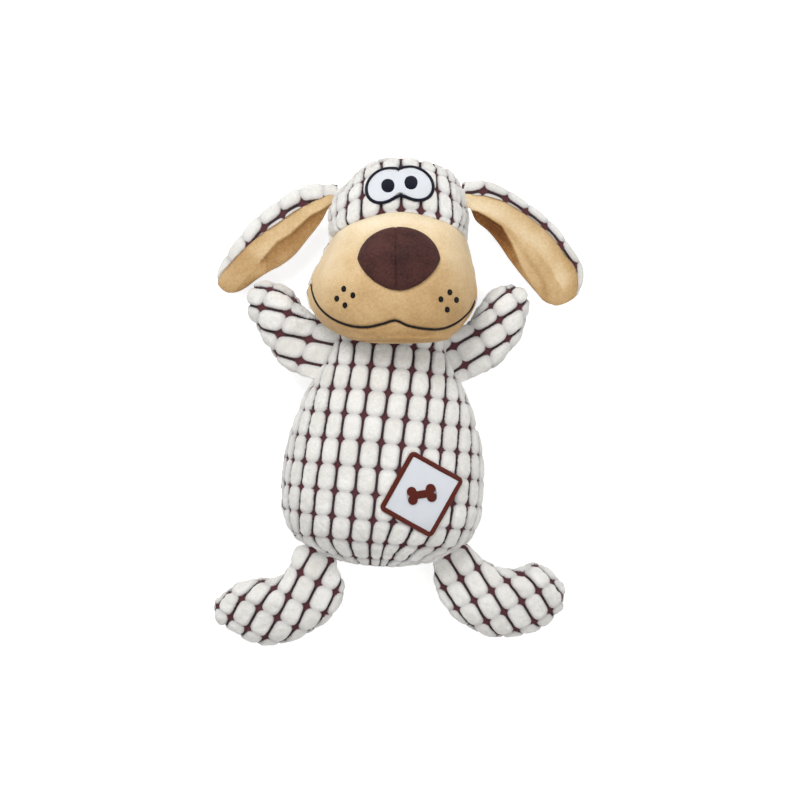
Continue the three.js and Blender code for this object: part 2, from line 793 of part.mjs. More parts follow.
function buildTorso() {
  const group = new THREE.Group();
  group.rotation.z = TORSO_LEAN;
  const rows = torsoRows();
  const skin = skinOf(sectionsOf(rows, { steps: 12, poleStart: true }), 24);
  const form = aboveTable(solidOf(skin).add(neckForm(0, -TORSO_LEAN)));
  const within = { steps: 6, poleStart: true, inset: COVER, end: HALF, cap: 2 };
  const coreSkin = skinOf(sectionsOf(rows, within), 12);
  const core = aboveTable(solidOf(coreSkin).add(neckForm(COVER, -TORSO_LEAN, 12)), COVER);
  const size = TORSO_LENGTH * 3;
  const { base, depths } = quiltedSkin(rows, 12);
  const quilted = grown(base, depths.map((depth) => -depth));
  const belly = aboveTable(solidOf(quilted).add(neckForm(0, -TORSO_LEAN))).subtract(core);
  group.add(piece('body_front', halfOf(belly, 1, size), COLOURS.plush));
  group.add(piece('body_back', halfOf(form.subtract(core), -1, size), COLOURS.plush));

  const [squeakerX, squeakerY] = squeakerPlace();
  const room = squeakerRoom().translate([squeakerX, squeakerY, 0]);
  const slitWidth = SQUEAKER_DIAMETER * HALF;
  const slit = block(slitWidth, SQUEAKER_SLIT, BACK_DEPTH, squeakerX, squeakerY, -BACK_DEPTH * HALF);
  const padding = solidOf(grown(coreSkin, -GAP)).add(neckForm(COVER + GAP, -TORSO_LEAN, 12));
  const stuffing = aboveTable(padding, COVER + GAP).subtract(room).subtract(slit);
  group.add(piece('body_stuffing', stuffing, COLOURS.fibre));

  const squeaker = new THREE.Group();
  squeaker.position.set(squeakerX, squeakerY, 0);
  squeaker.add(...squeakerPieces());
  group.add(squeaker);
  group.add(...patchPieces(grown(base, -CELL_TOP_DEPTH)));
  return group;
}

// A layer lying on a skin: from one height above it to another.
function layerOn(skin, low, high) {
  return solidOf(grown(skin, high)).subtract(solidOf(grown(skin, low)));
}

function patchPieces(skin) {
  const x = TORSO_WIDTH * HALF * PATCH_SHARES[0];
  const y = -NECK_TO_TORSO - TORSO_LENGTH * (1 - PATCH_SHARES[1]);
  const place = (solid) => turned(solid, PATCH_TURN, x, y);
  const outer = prism(rectangleShape(PATCH_WIDTH, PATCH_HEIGHT), 0, BELLY_DEPTH * 2);
  const openWidth = PATCH_WIDTH - PATCH_EDGE * 2;
  const openHeight = PATCH_HEIGHT - PATCH_EDGE * 2;
  const opening = prism(rectangleShape(openWidth, openHeight), 0, BELLY_DEPTH * 2);
  const clothShape = rectangleShape(openWidth - GAP * 2, openHeight - GAP * 2);
  const cloth = prism(clothShape, 0, BELLY_DEPTH * 2);

  const knobAcross = (BONE_SHAFT + BONE_KNOB) * HALF * HALF;
  const knobAlong = (BONE_LENGTH - BONE_KNOB) * HALF;
  const knobs = [1, -1].flatMap((end) =>
    [1, -1].map((side) => ovalShape(BONE_KNOB, BONE_KNOB, end * knobAlong, side * knobAcross)),
  );
  const shaft = rectangleShape(BONE_LENGTH - BONE_KNOB, BONE_SHAFT);
  const figure = joined(...[shaft, ...knobs].map((shape) => prism(shape, 0, BELLY_DEPTH * 2)));
  const figureTop = GAP + PATCH_THICKNESS + GAP;
  const border = layerOn(skin, GAP, GAP + PATCH_EDGE_THICKNESS).intersect(place(outer.subtract(opening)));
  const patch = layerOn(skin, GAP, GAP + PATCH_THICKNESS).intersect(place(cloth));
  const layer = layerOn(skin, figureTop, figureTop + BONE_THICKNESS);
  const bone = layer.intersect(place(turned(figure, BONE_TURN, 0, 0)));
  return [
    piece('patch_cloth', patch, COLOURS.white, 0.8),
    piece('patch_border', border, COLOURS.brown, 0.7),
    piece('patch_bone', bone, COLOURS.brown, 0.7),
  ];
}

// Head

function headPlace([across, up]) {
  return new THREE.Vector2(HEAD_SHIFT + HEAD_WIDTH * across, HEAD_HEIGHT * up - CHIN_DROP);
}

function headRows() {
  return HEAD_SHARES.map(([along, right, left, front, back, lift]) => {
    const half = HEAD_WIDTH * HALF;
    return [
      HEAD_SHIFT + half * (left - right) * HALF,
      HEAD_HEIGHT * along - CHIN_DROP,
      half * (left + right) * HALF,
      0,
      MUZZLE_DEPTH * front,
      NAPE_DEPTH * back,
      MUZZLE_DEPTH * lift,
    ];
  });
}

// The space under the head that the torso's shoulders need when the head nods.
function shoulderRoom(inset) {
  const unit = NECK_THICKNESS * HALF;
  const side = (sign) =>
    HEAD_CUT_SHARES.map(([up, out]) => new THREE.Vector2(up * unit + inset, sign * out * unit));
  const front = side(1);
  const back = side(-1).reverse();
  const corner = (sign) => new THREE.Vector2(-HEAD_CUT_REACH, sign * HEAD_CUT_REACH);
  const shape = new THREE.Shape([
    new THREE.Vector2(HEAD_CUT_RISE + inset, 0),
    ...front,
    corner(1),
    corner(-1),
    ...back,
  ]);
  return acrossHead(shape);
}

// A solid that runs right across the head, from its outline seen from the side (y, z).
function acrossHead(shape) {
  const geometry = new THREE.ExtrudeGeometry(shape, { depth: HEAD_WIDTH * 2, bevelEnabled: false });
  geometry.translate(0, 0, -HEAD_WIDTH);
  geometry.applyMatrix4(
    new THREE.Matrix4().makeBasis(
      new THREE.Vector3(0, 1, 0),
      new THREE.Vector3(0, 0, 1),
      new THREE.Vector3(1, 0, 0),
    ),
  );
  return solidOf(geometry);
}

// The space in front of the middle of every head section.
function faceSpace(rows) {
  const middle = rows.map((row) => new THREE.Vector2(row[1], row[6]));
  const top = HEAD_HEIGHT + OVERRUN;
  const shape = new THREE.Shape([
    new THREE.Vector2(-OVERRUN, middle[0].y),
    ...middle.slice(1),
    new THREE.Vector2(top, 0),
    new THREE.Vector2(top, MUZZLE_DEPTH * 2),
    new THREE.Vector2(-OVERRUN, MUZZLE_DEPTH * 2),
  ]);
  return acrossHead(shape);
}

function noseShape(margin) {
  const x = NOSE_WIDTH * HALF + margin;
  const up = NOSE_RISE + margin;
  const down = NOSE_DROP + margin;
  const shape = new THREE.Shape();
  shape.moveTo(-x, 0);
  const [topX, topY, sideX, sideY, pointX] = NOSE_CURVE_SHARES;
  shape.bezierCurveTo(-x * topX, up * topY, x * topX, up * topY, x, 0);
  shape.bezierCurveTo(x * sideX, -down * sideY, x * pointX, -down, 0, -down);
  shape.bezierCurveTo(-x * pointX, -down, -x * sideX, -down * sideY, -x, 0);
  return shape;
}

function eyeSolid(margin) {
  const lobes = [1, -1].map((side) =>
    prism(
      ovalShape(
        EYE_LOBE_WIDTH + margin * 2,
        EYE_LOBE_HEIGHT + margin * 2,
        side * EYE_SPACING * HALF,
        0,
      ),
      0,
      MUZZLE_DEPTH * 2,
    ),
  );
  const place = headPlace(EYE_SHARES);
  return turned(joined(...lobes), EYE_TILT, place.x, place.y);
}

function facePieces(skin) {
  const tall = MUZZLE_DEPTH * 2;
  const pieces = [];
  const white = layerOn(skin, GAP, GAP + EYE_THICKNESS).intersect(eyeSolid(0));
  pieces.push(piece('eye_white', white, COLOURS.white, 0.6));
  const ring = eyeSolid(EYE_OUTLINE_WIDTH + GAP).subtract(eyeSolid(GAP));
  const outline = layerOn(skin, GAP, GAP + EYE_THICKNESS + THREAD_HEIGHT).intersect(ring);
  pieces.push(piece('eye_outline', outline, COLOURS.navy, 0.6));

  const pupilLow = GAP + EYE_THICKNESS + GAP;
  const pupilLayer = layerOn(skin, pupilLow, pupilLow + PUPIL_THICKNESS);
  const eye = headPlace(EYE_SHARES);
  for (const [name, side] of [['pupil_right', -1], ['pupil_left', 1]]) {
    const disc = prism(ovalShape(PUPIL_WIDTH, PUPIL_WIDTH, side * PUPIL_SPACING * HALF, 0), 0, tall);
    const pupil = pupilLayer.intersect(turned(disc, EYE_TILT, eye.x, eye.y));
    pieces.push(piece(name, pupil, COLOURS.navy, 0.6));
  }

  const threadLayer = layerOn(skin, GAP, GAP + THREAD_HEIGHT).intersect(faceSpace(headRows()));
  const mouthPoints = MOUTH_SHARES.slice(1, -1).map(headPlace);
  const mouth = prism(strokeShape(mouthPoints, MOUTH_THREAD, 26), 0, tall);
  pieces.push(piece('mouth_stitch', threadLayer.intersect(mouth), COLOURS.black, 0.7));

  for (const [side, places] of Object.entries(WHISKER_SHARES)) {
    places.forEach((share, index) => {
      const place = headPlace(share);
      const dot = prism(ovalShape(WHISKER_WIDTH, WHISKER_WIDTH, 0, 0), 0, tall);
      const whisker = threadLayer.intersect(turned(dot, 0, place.x, place.y));
      pieces.push(piece(`whisker_${side}_${index + 1}`, whisker, COLOURS.black, 0.7));
    });
  }
  return pieces;
}

function buildHead() {
  const group = new THREE.Group();
  const rows = headRows();
  const ends = { poleStart: true, poleEnd: true };
  const skin = skinOf(sectionsOf(rows, { ...ends, steps: 15 }), 26);
  const coreSkin = skinOf(sectionsOf(rows, { ...ends, steps: 7, inset: COVER, cap: 2 }), 12);
  const socket = (inset) =>
    joined(neckForm(-NECK_CLEARANCE - inset), shoulderRoom(inset * HEAD_CUT_OFFSET_SHARE));
  const form = aboveTable(solidOf(skin)).subtract(socket(0));
  const core = aboveTable(solidOf(coreSkin), COVER).subtract(socket(COVER));
  const cover = form.subtract(core).subtract(socket(COVER + GAP));
  const size = HEAD_HEIGHT * 3;
  const padding = aboveTable(solidOf(grown(coreSkin, -GAP)), COVER + GAP);
  group.add(piece('head_back', halfOf(cover, -1, size), COLOURS.plush));
  group.add(piece('neck_panel', form.intersect(socket(COVER)), COLOURS.plush));
  group.add(piece('head_stuffing', padding.subtract(socket(COVER + GAP)), COLOURS.fibre));

  // The nose stands a little proud, so its panels come from a form grown by that much.
  const tall = MUZZLE_DEPTH * 2;
  const nosePlace = headPlace(NOSE_SHARES);
  const noseCut = prism(noseShape(GAP), 0, tall).translate([nosePlace.x, nosePlace.y, 0]);
  const noseBody = prism(noseShape(0), 0, tall).translate([nosePlace.x, nosePlace.y, 0]);
  const noseLayer = solidOf(grown(skin, NOSE_STAND)).subtract(core).intersect(noseBody);

  const crownSeam = CROWN_SEAM_SHARES.map(headPlace);
  const mouthSeam = MOUTH_SHARES.map(headPlace);
  const seamX = headPlace([MUZZLE_SEAM_SHARE, 0]).x;
  const wallOf = (points) => prism(strokeShape(points, GAP, SEAM_SAMPLES), -tall, tall);
  const middleWall = block(GAP, HEAD_HEIGHT * 3, tall * 2, seamX, 0, 0);
  const far = HEAD_WIDTH * 2;
  const top = HEAD_HEIGHT * 2;
  const above = (points) =>
    prism(
      regionShape(points, SEAM_SAMPLES, [
        new THREE.Vector2(far, points[points.length - 1].y),
        new THREE.Vector2(far, top),
        new THREE.Vector2(-far, top),
        new THREE.Vector2(-far, points[0].y),
      ]),
      -tall,
      tall,
    );
  const aboveCrownSeam = above(crownSeam);
  const aboveMouth = above(mouthSeam);
  const front = halfOf(cover, 1, size)
    .subtract(wallOf(crownSeam))
    .subtract(wallOf(mouthSeam))
    .subtract(noseCut);
  const muzzle = front.subtract(aboveCrownSeam).intersect(aboveMouth).subtract(middleWall);
  const sideBlock = (side) => block(far, top * 2, tall * 2, seamX + side * far * HALF, 0, 0);
  group.add(piece('crown_front', front.intersect(aboveCrownSeam), COLOURS.plush));
  group.add(piece('chin', front.subtract(aboveMouth), COLOURS.tan));
  for (const [name, side] of [['right', -1], ['left', 1]]) {
    group.add(piece(`muzzle_${name}`, muzzle.intersect(sideBlock(side)), COLOURS.tan));
    const panel = noseLayer.subtract(middleWall).intersect(sideBlock(side));
    group.add(piece(`nose_${name}`, panel, COLOURS.nose, 0.85));
  }
  group.add(...facePieces(skin));
  return group;
}

// Limbs

// The rim of a form at the seam plane, on one side, as plan points.
function edgeOf(rows, poleEnd, side) {
  const sections = sectionsOf(rows, { steps: 60, poleStart: true, poleEnd, cap: 12 });
  return sections.map((row) => new THREE.Vector2(row[0] + row[2] * side, row[1] + row[3] * side));
}

// The place along an edge where its y has come a given share of the way from one end to the other.
function edgePoint(edge, y) {
  const index = edge.findIndex((point, place) => place > 0 && point.y >= y);
  const before = edge[index - 1];
  const after = edge[index];
  return before.clone().lerp(after, (y - before.y) / (after.y - before.y));
}

// A root's hinge point: out from the edge, far enough that its rounded root clears the surface.
function rootPlace(edge, middle, heading, width) {
  const out = new THREE.Vector2(Math.cos(heading), Math.sin(heading));
  const across = new THREE.Vector2(-out.y, out.x);
  let reach = -Infinity;
  for (const point of edge) {
    const offset = point.clone().sub(middle);
    if (Math.abs(offset.dot(across)) < width * HALF) reach = Math.max(reach, offset.dot(out));
  }
  return middle.clone().add(out.multiplyScalar(reach + ROOT_ROOM));
}

function limbRows(shares, reach, thickness) {
  return shares.map(([x1, y1, x2, y2, half]) => [
    reach * (x1 + x2) * HALF,
    reach * (y1 + y2) * HALF,
    reach * (x1 - x2) * HALF,
    reach * (y1 - y2) * HALF,
    thickness * half,
    thickness * half,
    0,
  ]);
}

// The rounded edge at a limb's root, centred on the line that it bends about.
function withRootEdge(sections) {
  const root = sections[0];
  const edge = ROOT_EDGE_SHARES.map((share) => {
    const angle = share * Math.PI * HALF;
    const row = [...root];
    row[0] = root[0] - ROOT_EDGE * Math.sin(angle);
    row[4] = root[4] * Math.cos(angle);
    row[5] = row[4];
    return row;
  });
  return [...edge, ...sections];
}

function buildLimb(name, shares, reach, thickness) {
  const group = new THREE.Group();
  const rows = limbRows(shares, reach, thickness);
  const sections = withRootEdge(sectionsOf(rows, { steps: 9, poleEnd: true }));
  const form = solidOf(skinOf(sections, 14));
  const start = LIMB_STUFFING_START_SHARE * (rows.length - 1);
  const coreSkin = skinOf(sectionsOf(rows, { steps: 5, poleEnd: true, inset: COVER, start, cap: 2 }), 8);
  const cover = form.subtract(solidOf(coreSkin));
  group.add(piece(`${name}_front`, halfOf(cover, 1, reach * 4), COLOURS.plush));
  group.add(piece(`${name}_back`, halfOf(cover, -1, reach * 4), COLOURS.plush));
  group.add(piece(`${name}_stuffing`, solidOf(grown(coreSkin, -GAP)), COLOURS.fibre));
  return group;
}

function buildEar(name, shares) {
  const group = new THREE.Group();
  const rows = limbRows(shares, EAR_REACH, EAR_THICKNESS);
  const sections = withRootEdge(sectionsOf(rows, { steps: 10, poleEnd: true }));
  const form = solidOf(skinOf(sections, 10));
  const seam = shares.map(([x1, y1, x2, y2, , begin]) =>
    new THREE.Vector2(x1 + (x2 - x1) * begin, y1 + (y2 - y1) * begin).multiplyScalar(EAR_REACH),
  );
  const side = Math.sign(shares[0][3] - shares[0][1]);
  const tip = seam.pop();
  const rim = seam[seam.length - 1];
  const line = [
    new THREE.Vector2(-OVERRUN, seam[0].y),
    ...seam,
    new THREE.Vector2(rim.x + OVERRUN, rim.y + side * OVERRUN * HALF),
  ];
  const far = [
    new THREE.Vector2(rim.x + OVERRUN, tip.y + side * OVERRUN * 2),
    new THREE.Vector2(-OVERRUN, tip.y + side * OVERRUN * 2),
  ];
  const region = regionShape(line, SEAM_SAMPLES, far);
  const tall = EAR_THICKNESS * 2;
  const wall = prism(strokeShape(line, GAP, SEAM_SAMPLES), -GAP * HALF, tall);
  const outer = form.subtract(prism(region, -GAP * HALF, tall)).subtract(wall);
  const inner = form.intersect(prism(region, GAP * HALF, tall)).subtract(wall);
  group.add(piece(`${name}_outer`, outer, COLOURS.plush));
  group.add(piece(`${name}_inner`, inner, COLOURS.tan));
  return group;
}

// Turns a limb's own frame (x out, y across, z to the front) to its heading and slope.
function placed(group, point, heading, slope) {
  group.position.set(point.x, point.y, 0);
  group.rotation.set(0, slope, heading, 'ZYX');
  return group;
}

function limbOnTorso(torso, limb) {
  const edge = edgeOf(torsoRows(), false, limb.side);
  const middle = edgePoint(edge, -NECK_TO_TORSO - TORSO_LENGTH * (1 - limb.rootShare));
  const width = limb.reach * Math.abs(limb.shares[0][1] - limb.shares[0][3]);
  const group = buildLimb(limb.name, limb.shares, limb.reach, limb.thickness);
  const point = rootPlace(edge, middle, limb.heading, width);
  torso.add(placed(group, point, limb.heading, limb.slope));
}

function earOnHead(head, side, shares, group) {
  const edge = edgeOf(headRows(), true, side);
  const middle = edgePoint(edge, HEAD_HEIGHT * EAR_ROOT_SHARE - CHIN_DROP);
  const heading = side > 0 ? EAR_HEADING : Math.PI - EAR_HEADING;
  const width = EAR_REACH * Math.abs(shares[0][1] - shares[0][3]);
  head.add(placed(group, rootPlace(edge, middle, heading, width), heading, EAR_SLOPE));
}

// Assembly

const torso = buildTorso();
const head = buildHead();
const arm = { reach: ARM_REACH, thickness: ARM_THICKNESS, slope: ARM_SLOPE };
const leg = { reach: LEG_REACH, thickness: LEG_THICKNESS, slope: LEG_SLOPE };
const limbs = [
  {
    ...arm,
    name: 'arm_right',
    side: -1,
    shares: RIGHT_ARM_SHARES,
    rootShare: RIGHT_ARM_ROOT_SHARE,
    heading: RIGHT_ARM_HEADING,
  },
  {
    ...arm,
    name: 'arm_left',
    side: 1,
    shares: LEFT_ARM_SHARES,
    rootShare: LEFT_ARM_ROOT_SHARE,
    heading: LEFT_ARM_HEADING,
  },
  {
    ...leg,
    name: 'leg_right',
    side: -1,
    shares: RIGHT_LEG_SHARES,
    rootShare: RIGHT_LEG_ROOT_SHARE,
    heading: RIGHT_LEG_HEADING,
  },
  {
    ...leg,
    name: 'leg_left',
    side: 1,
    shares: LEFT_LEG_SHARES,
    rootShare: LEFT_LEG_ROOT_SHARE,
    heading: LEFT_LEG_HEADING,
  },
];
for (const limb of limbs) limbOnTorso(torso, limb);
earOnHead(head, -1, RIGHT_EAR_SHARES, buildEar('ear_right', RIGHT_EAR_SHARES));
earOnHead(head, 1, LEFT_EAR_SHARES, buildEar('ear_left', LEFT_EAR_SHARES));

const dog = new THREE.Group();
dog.name = 'plush_dog';
dog.add(torso, head);

// The middle of the whole toy's outline stands over the origin, with the table at height zero.
dog.updateMatrixWorld(true);
const bounds = new THREE.Box3().setFromObject(dog, true);
dog.position.set(-(bounds.min.x + bounds.max.x) * HALF, -(bounds.min.y + bounds.max.y) * HALF, SEAM_HEIGHT);

export default dog;
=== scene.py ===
"""A plush toy dog lying on its back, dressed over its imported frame.

Shapes are worked out in millimetres and become metres when a mesh is made. +X is the dog's own
left, +Y points to the top of its head and +Z up from the table. Every stuffed form is a row of
cross-sections, and its panels, seams and raised plush cells are laid out on the form's surface.
"""

import json

import bpy
import numpy as np
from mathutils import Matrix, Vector


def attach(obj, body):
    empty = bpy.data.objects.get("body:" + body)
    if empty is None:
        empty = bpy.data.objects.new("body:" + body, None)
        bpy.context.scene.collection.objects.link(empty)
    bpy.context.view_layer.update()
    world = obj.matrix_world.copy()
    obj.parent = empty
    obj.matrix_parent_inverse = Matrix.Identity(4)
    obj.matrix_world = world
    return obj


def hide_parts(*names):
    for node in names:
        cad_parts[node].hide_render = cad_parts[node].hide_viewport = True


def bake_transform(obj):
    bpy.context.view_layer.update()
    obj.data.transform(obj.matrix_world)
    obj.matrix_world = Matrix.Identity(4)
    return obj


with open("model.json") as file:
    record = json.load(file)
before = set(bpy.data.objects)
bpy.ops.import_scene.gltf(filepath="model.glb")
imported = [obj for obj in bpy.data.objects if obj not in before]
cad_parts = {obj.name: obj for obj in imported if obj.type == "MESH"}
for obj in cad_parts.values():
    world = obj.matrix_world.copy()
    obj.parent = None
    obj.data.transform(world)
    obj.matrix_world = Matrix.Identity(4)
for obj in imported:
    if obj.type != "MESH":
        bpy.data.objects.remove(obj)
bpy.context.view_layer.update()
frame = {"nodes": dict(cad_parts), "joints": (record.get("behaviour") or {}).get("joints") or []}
SCENE = bpy.context.scene

MM = 0.001
FULLNESS = 2.3
SEAM_HEIGHT = 27.0
TABLE_CLEARANCE = 0.25
INNER_CLEARANCE = 1.2
FINE_STEP = 0.85
WALL_STEPS = 4
PLUSH_WALL = 4.2
VELOUR_WALL = 3.4
EAR_WALL = 1.2
SHARP = np.radians(80)
# Steps of the tables that lay a form's cloth flat, along it and round it.
TABLE_STEPS = 160
# Steps of the tables that measure a form's length and a section's half.
LENGTH_STEPS = 1200
ANGLE_STEPS = 2000
FIND_MARGIN = 0.03
# How high the raised cells stand, over a ground that lies below the form.
PUFF = 2.5
GROUND = -2.1
# How far the cloth sinks at a seam, and where something is sewn over it.
SEAM_DIP = 0.9
FLAT_DIP = 0.35
# How much smaller a cell is than its pitch, across and along, how far its corners are cut, and the
# power that rounds its outline.
CELL_SIDES = (1.08, 0.885)
CELL_CORNER = (0.53, 0.64)
CELL_POWER = 10
SIMULATION_SCALE = 0.005
SIMULATION_FRAMES = 20
# Millimetres of cloth to one step of the texture's coordinates.
UV_SIDE = 10
THREAD_PITCH = 0.45
SATIN_PITCH = 0.4
# The cloth's grid drifts in waves of at most so many radians a millimetre and this height.
DRIFT_TURN = 0.09
DRIFT_SIZE = 0.12
# What the photograph shows: its width on the table and its middle, in metres.
PHOTO_FIELD = 0.4296
PHOTO_MIDDLE = (0.00102, 0.0006)

# Sections of the torso from the bottom to the neck: place along, half width, front and back depth.
TORSO_SIZE = (123.5, 54.5, 39.0, 27.5)
TORSO_START = -2.2
TORSO_LEAN = np.radians(-3)
NECK = (28.0, 17.0)
TORSO_SHARES = [
    (0, 0, 0, 0),
    (0.052, 0.59, 0.58, 0.6),
    (0.096, 0.8, 0.75, 0.78),
    (0.143, 0.905, 0.86, 0.89),
    (0.213, 0.975, 0.94, 0.97),
    (0.283, 0.995, 0.98, 1),
    (0.352, 1, 1, 1),
    (0.457, 0.99, 0.99, 1),
    (0.561, 0.95, 0.94, 0.98),
    (0.665, 0.88, 0.86, 0.93),
    (0.735, 0.825, 0.79, 0.88),
    (0.804, 0.745, 0.71, 0.82),
    (0.878, 0.67, 0.62, 0.75),
    (0.943, 0.6, 0.54, 0.69),
    (1, 0.54, 0.46, 0.63),
]

# Sections of the head from chin to crown: place along, half width to the dog's right and left, front
# depth, back depth and how far the section's middle is lifted to the front.
HEAD_SIZE = (101.5, 45.5, 57.0, 27.5)
HEAD_SHIFT = 3.2
CHIN_DROP = 7.5
HEAD_SHARES = [
    (0, 0, 0, 0, 0, 0.54),
    (0.021, 0.44, 0.52, 0.22, 0.5, 0.5),
    (0.063, 0.72, 0.69, 0.4, 0.9, 0.42),
    (0.116, 0.88, 0.8, 0.56, 1.15, 0.31),
    (0.185, 1.0, 0.9, 0.71, 1.25, 0.21),
    (0.249, 1.05, 0.95, 0.82, 1.22, 0.13),
    (0.328, 1.05, 0.95, 0.9, 1.14, 0.08),
    (0.45, 0.93, 0.9, 0.94, 1.08, 0.04),
    (0.508, 0.86, 0.86, 0.89, 1.03, 0.02),
    (0.566, 0.8, 0.84, 0.8, 1, 0),
    (0.63, 0.81, 0.85, 0.69, 1, 0),
    (0.698, 0.82, 0.86, 0.58, 1, 0),
    (0.804, 0.77, 0.82, 0.52, 0.98, 0),
    (0.857, 0.63, 0.77, 0.48, 0.92, 0),
    (0.926, 0.5, 0.66, 0.38, 0.76, 0),
    (0.963, 0.37, 0.52, 0.28, 0.56, 0),
    (1, 0, 0, 0, 0, 0),
]

# Outlines of limbs and ears as pairs of edge points (out from the root, across) and the half
# thickness there. Places are shares of the reach, thickness shares of the full thickness. The
# sizes are the reach, the thickness and the share by which the hidden end at the root is drawn in.
LEG_SIZE = (57.0, 30.0, 0.6)
RIGHT_LEG_SHARES = [
    (0, -0.25, 0.02, 0.2, 0.05),
    (0.13, -0.25, 0.14, 0.3, 0.18),
    (0.21, -0.26, 0.31, 0.33, 0.3),
    (0.28, -0.3, 0.5, 0.28, 0.4),
    (0.33, -0.36, 0.66, 0.17, 0.465),
    (0.37, -0.47, 0.82, 0.02, 0.5),
    (0.44, -0.58, 0.93, -0.17, 0.5),
    (0.51, -0.68, 0.97, -0.36, 0.475),
    (0.6, -0.75, 0.95, -0.52, 0.4),
    (0.69, -0.78, 0.91, -0.65, 0.29),
    (0.81, -0.78, 0.81, -0.78, 0),
]
LEFT_LEG_SHARES = [
    (0, 0.25, 0.02, -0.17, 0.05),
    (0.11, 0.28, 0.13, -0.22, 0.17),
    (0.22, 0.33, 0.29, -0.23, 0.3),
    (0.31, 0.4, 0.47, -0.21, 0.4),
    (0.36, 0.48, 0.66, -0.12, 0.465),
    (0.4, 0.61, 0.85, 0.02, 0.5),
    (0.43, 0.72, 0.95, 0.23, 0.5),
    (0.52, 0.79, 1, 0.41, 0.475),
    (0.62, 0.83, 1, 0.57, 0.4),
    (0.72, 0.84, 0.94, 0.71, 0.29),
    (0.84, 0.81, 0.84, 0.81, 0),
]
ARM_SIZE = (52.0, 26.0, 0.1)
RIGHT_ARM_SHARES = [
    (0, 0.21, 0, -0.385, 0.058),
    (0.1, 0.22, 0.1, -0.4, 0.15),
    (0.22, 0.22, 0.19, -0.415, 0.26),
    (0.38, 0.18, 0.28, -0.42, 0.39),
    (0.56, 0.08, 0.36, -0.45, 0.47),
    (0.75, -0.04, 0.45, -0.5, 0.5),
    (0.88, -0.14, 0.52, -0.53, 0.5),
    (0.94, -0.22, 0.6, -0.56, 0.465),
    (0.98, -0.31, 0.71, -0.56, 0.4),
    (0.97, -0.4, 0.82, -0.53, 0.28),
    (0.92, -0.48, 0.92, -0.48, 0),
]
LEFT_ARM_SHARES = [
    (0, 0.31, 0, -0.21, 0.058),
    (0.1, 0.33, 0.12, -0.21, 0.15),
    (0.21, 0.35, 0.25, -0.21, 0.26),
    (0.3, 0.38, 0.37, -0.18, 0.39),
    (0.38, 0.43, 0.52, -0.12, 0.47),
    (0.46, 0.48, 0.69, -0.02, 0.5),
    (0.54, 0.53, 0.81, 0.1, 0.5),
    (0.62, 0.57, 0.9, 0.21, 0.465),
    (0.72, 0.58, 0.95, 0.31, 0.4),
    (0.82, 0.55, 0.95, 0.41, 0.28),
    (0.9, 0.5, 0.9, 0.5, 0),
]
ROOT_EDGE = 6.0
ROOT_TURNS = (1, 0.75, 0.4)

# Where the head's underside clears the shoulders: height over the neck's middle by distance out.
ROOM_OUT = (0, 16.0, 23.5, 30.9, 40.8, 60.0)
ROOM_UP = (5.0, 5.1, -3.1, -9.5, -20.4, -40.0)
SOCKET = (28.6, 17.7)
CHIN_ROOM = 2.6
NECK_PANEL = (33, 19.5)

# The ears' last column is how far across each pair the tan lining begins.
EAR_SIZE = (68.0, 6.4, 0.2)
RIGHT_EAR_SHARES = [
    (0, -0.06, 0, 0.13, 0.23, 0.5),
    (0.12, -0.06, 0.08, 0.235, 0.4, 0.42),
    (0.29, -0.02, 0.21, 0.36, 0.5, 0.37),
    (0.46, 0.06, 0.33, 0.47, 0.5, 0.34),
    (0.62, 0.15, 0.45, 0.54, 0.5, 0.31),
    (0.75, 0.26, 0.56, 0.58, 0.5, 0.28),
    (0.85, 0.36, 0.67, 0.63, 0.5, 0.25),
    (0.93, 0.46, 0.76, 0.68, 0.48, 0.2),
    (0.98, 0.54, 0.84, 0.71, 0.42, 0.11),
    (1, 0.61, 0.91, 0.71, 0.32, 0.04),
    (0.98, 0.67, 0.98, 0.67, 0, 0),
]
LEFT_EAR_SHARES = [
    (0, 0.08, 0, -0.14, 0.23, 0.5),
    (0.12, 0.08, 0.06, -0.23, 0.4, 0.34),
    (0.29, 0.03, 0.17, -0.3, 0.5, 0.25),
    (0.44, -0.04, 0.27, -0.39, 0.5, 0.2),
    (0.59, -0.12, 0.36, -0.49, 0.5, 0.17),
    (0.75, -0.23, 0.46, -0.59, 0.5, 0.16),
    (0.88, -0.37, 0.56, -0.68, 0.5, 0.15),
    (0.97, -0.47, 0.64, -0.75, 0.48, 0.13),
    (1, -0.59, 0.7, -0.8, 0.42, 0.1),
    (0.98, -0.7, 0.78, -0.82, 0.32, 0.05),
    (0.9, -0.79, 0.9, -0.79, 0, 0),
]

# The cells' grid on each panel, across and then along: pitch, direction in degrees and offset.
GRIDS = {
    "belly": ((11.24, -3.97, -1.196), (14.05, -92.87, -1.209)),
    "back": ((11.2, 0, 0.5), (14.1, 90, 0.35)),
    "arm_right": ((12.25, 102.84, 2.715), (16.35, 179.9, 3.334)),
    "arm_left": ((11.72, -79.79, 1.755), (14.28, 8.68, -0.967)),
    "leg_right": ((11.32, 80.37, 1.484), (14.01, -11.97, 0.419)),
    "leg_left": ((10.93, 94.3, 0.97), (14.14, 4.73, 0.367)),
}

# On the ears the grid follows the upper edge: how far from it a line lies, and how far from the
# root the first crossing lies.
EAR_GRIDS = {"ear_right": (10.0, 48.2), "ear_left": (7.0, 65.6)}
EAR_PITCH = (11.2, 13.3)
EAR_PUFF = 2.0
EAR_GROUND = -0.9
# The crown's grid stands upright over its seam: pitch across and up, and a line's place.
CROWN_PITCH = (10.75, 14.1)
CROWN_START = 5.26

